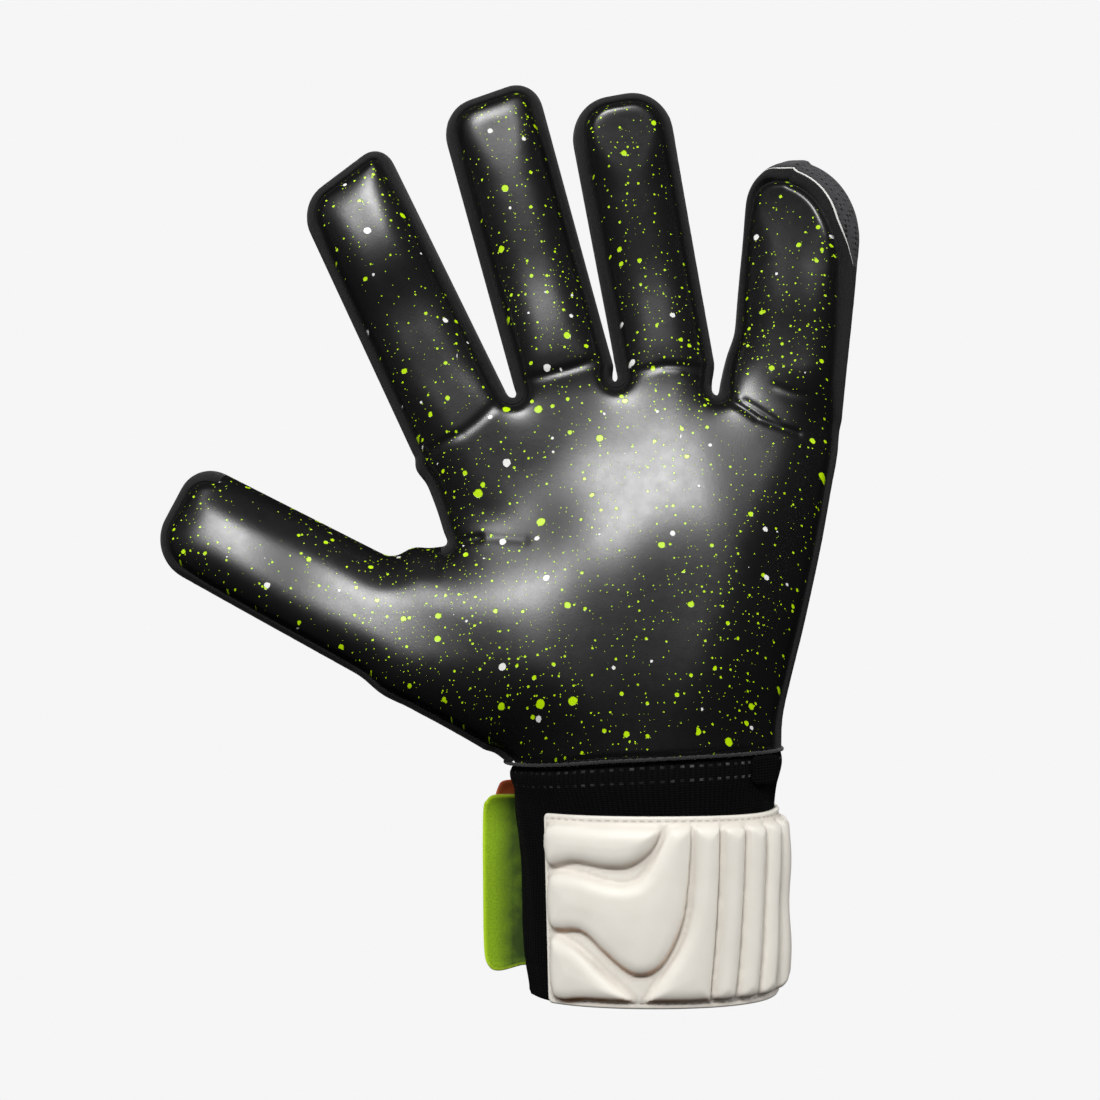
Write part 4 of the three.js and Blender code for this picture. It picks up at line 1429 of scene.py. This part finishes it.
def tab_layer(name, outline, inner, thickness, material, nodes=()):
    """One layer of the tab: its inner face stands so far off the tab's line."""
    line = rounded(outline, 5)

    def inside(points):
        return inside_polygon(points, line)

    def face(offset, bead):
        def place(points):
            x, z = points.T
            wave = 0.45 * np.sin(z / 8.5) * smooth(-34, -46, x)
            y = curve(x, TAB_PATH) + offset + wave + bead * bump(inside(points), 1.0, 0.8)
            return np.column_stack([x, y, z])

        return place

    near, far = face(inner, -0.3), face(inner + thickness, 0.3)
    edge = {"edge": lambda at: np.maximum(inside(at), 0)}
    obj = sheet(name, inside, line.min(axis=0), line.max(axis=0), 0.6, near, far, edge)
    dress(obj, material, nodes)
    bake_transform(obj)


def build_tab():
    tab_layer("strap_pull_tab_skin", TAB_OUTLINE, -1.0, 2.0, tab_material(), ["strap_pull_tab"])
    tab_layer("pull_tab_backing", BACKING_OUTLINE, 1.15, 1.5, coral_material())


def build_label():
    low, high = (-7, 19), (7, 41)
    outside, inside = 22.35, 21.75
    label = sheet(
        "size_label_skin", lambda at: rounded_box(at, low, high, 0.8), low, high, 0.5,
        lambda at: np.column_stack([at[:, 0], inside - 0.1 * wobble(at, 6, 4), at[:, 1]]),
        lambda at: np.column_stack([at[:, 0], np.full(len(at), outside), at[:, 1]]),
    )
    woven = fabric_material("woven_label", (0.5, 0.5, 0.48), (0.78, 0.78, 0.75), pitch=0.4)
    dress(label, woven, ["size_label"])
    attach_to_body(label, "hand")


def build_tack():
    """The bar tack tab at the top of the cuff."""
    tack = wrapped_patch("bar_tack_skin", 38.9, 25.4, 1.1, -43, -25, 62.5, 70.5, 1.2)
    dress(tack, elastic_material(), ["cuff_bar_tack_tab"])
    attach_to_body(tack, "hand")


def build_piping():
    """The thin cord over the wrist seam."""
    count, sides, radius = 260, 8, 0.5
    angle = np.linspace(0, 2 * math.pi, count, endpoint=False)
    x = -1.9 + 40.5 * np.cos(angle)
    y = 25.6 * np.sin(angle)
    z = WRIST_Z + curve(x, WRIST_CLIMB) + 0.1
    space = []
    for k in range(sides):
        turn = 2 * math.pi * k / sides
        out = radius * math.cos(turn)
        up = radius * math.sin(turn)
        lay = 0.12 * np.sin(angle * 90 + turn * 2)
        space.append(np.column_stack([x + out * np.cos(angle), y + out * np.sin(angle), z + up + lay]))
    piping = make_mesh("wrist_piping", np.vstack(space), tube_faces(sides, count))
    thread = fabric_material("piping_thread", (0.01, 0.01, 0.01), (0.045, 0.045, 0.045), pitch=0.5)
    dress(piping, thread)
    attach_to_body(piping, "hand")


build_cuff()
build_strap()
build_fasteners()
build_tab()
build_label()
build_tack()
build_piping()

# ---- camera, light and floor -----------------------------------------------------------------

BACKDROP = 0.92  # how pale the backdrop and the floor are
FLOOR_Z = -0.35
FLOOR_REACH = 1.0
GLOVE_MIDDLE = (-0.04, 0, 0.13)
CAMERA_PLACE = (-0.02925, -0.626, 0.1293)
FOCAL_LENGTH = 70
SENSOR_WIDTH = 36


def add_camera():
    data = bpy.data.cameras.new("camera")
    data.lens = FOCAL_LENGTH
    data.sensor_width = SENSOR_WIDTH
    obj = bpy.data.objects.new("camera", data)
    obj.location = CAMERA_PLACE
    obj.rotation_euler = (math.radians(90), 0, 0)
    bpy.context.scene.collection.objects.link(obj)
    bpy.context.scene.camera = obj


def add_light(name, location, size, power, glossy=False):
    """A softbox aimed at the glove. Only a glossy one is seen in the latex."""
    data = bpy.data.lights.new(name, "AREA")
    data.shape = "RECTANGLE"
    data.size, data.size_y = size
    data.energy = power
    obj = bpy.data.objects.new(name, data)
    obj.location = location
    way = Vector(GLOVE_MIDDLE) - Vector(location)
    obj.rotation_euler = way.to_track_quat("-Z", "Y").to_euler()
    obj.visible_glossy = glossy
    bpy.context.scene.collection.objects.link(obj)


def add_floor():
    """A plain floor well below the glove, as pale as the backdrop, which lights nothing."""
    corners = [(x * FLOOR_REACH, y * FLOOR_REACH, FLOOR_Z) for x, y in ((-1, -1), (1, -1), (1, 1), (-1, 1))]
    mesh = bpy.data.meshes.new("studio_floor")
    mesh.from_pydata(corners, [], [(0, 1, 2, 3)])
    shader = Shader("studio_floor", Base_Color=(0, 0, 0, 1), Roughness=1.0, Specular_IOR_Level=0.0,
                    Emission_Color=(*[BACKDROP] * 3, 1), Emission_Strength=1.0)
    mesh.materials.append(shader.material)
    obj = bpy.data.objects.new("studio_floor", mesh)
    obj.visible_diffuse = False
    obj.visible_glossy = False
    bpy.context.scene.collection.objects.link(obj)


def add_stage():
    world = bpy.data.worlds.new("studio")
    bpy.context.scene.world = world
    world.use_nodes = True
    background = world.node_tree.nodes["Background"]
    background.inputs["Color"].default_value = (*[BACKDROP] * 3, 1)
    world.cycles_visibility.diffuse = False
    world.cycles_visibility.glossy = False
    bpy.context.scene.view_settings.view_transform = "Standard"


add_camera()
add_stage()
add_floor()
add_light("key_softbox", (-0.20, -1.02, 0.80), (0.50, 0.34), 15, glossy=True)
add_light("left_softbox", (-1.1, -0.35, 0.4), (0.5, 0.9), 6)
add_light("right_softbox", (1.1, -0.35, 0.4), (0.5, 0.9), 8)
add_light("top_softbox", (0, 0.1, 1.2), (0.9, 0.7), 4)
add_light("back_softbox", (0, 1.1, 0.5), (0.9, 0.6), 13)
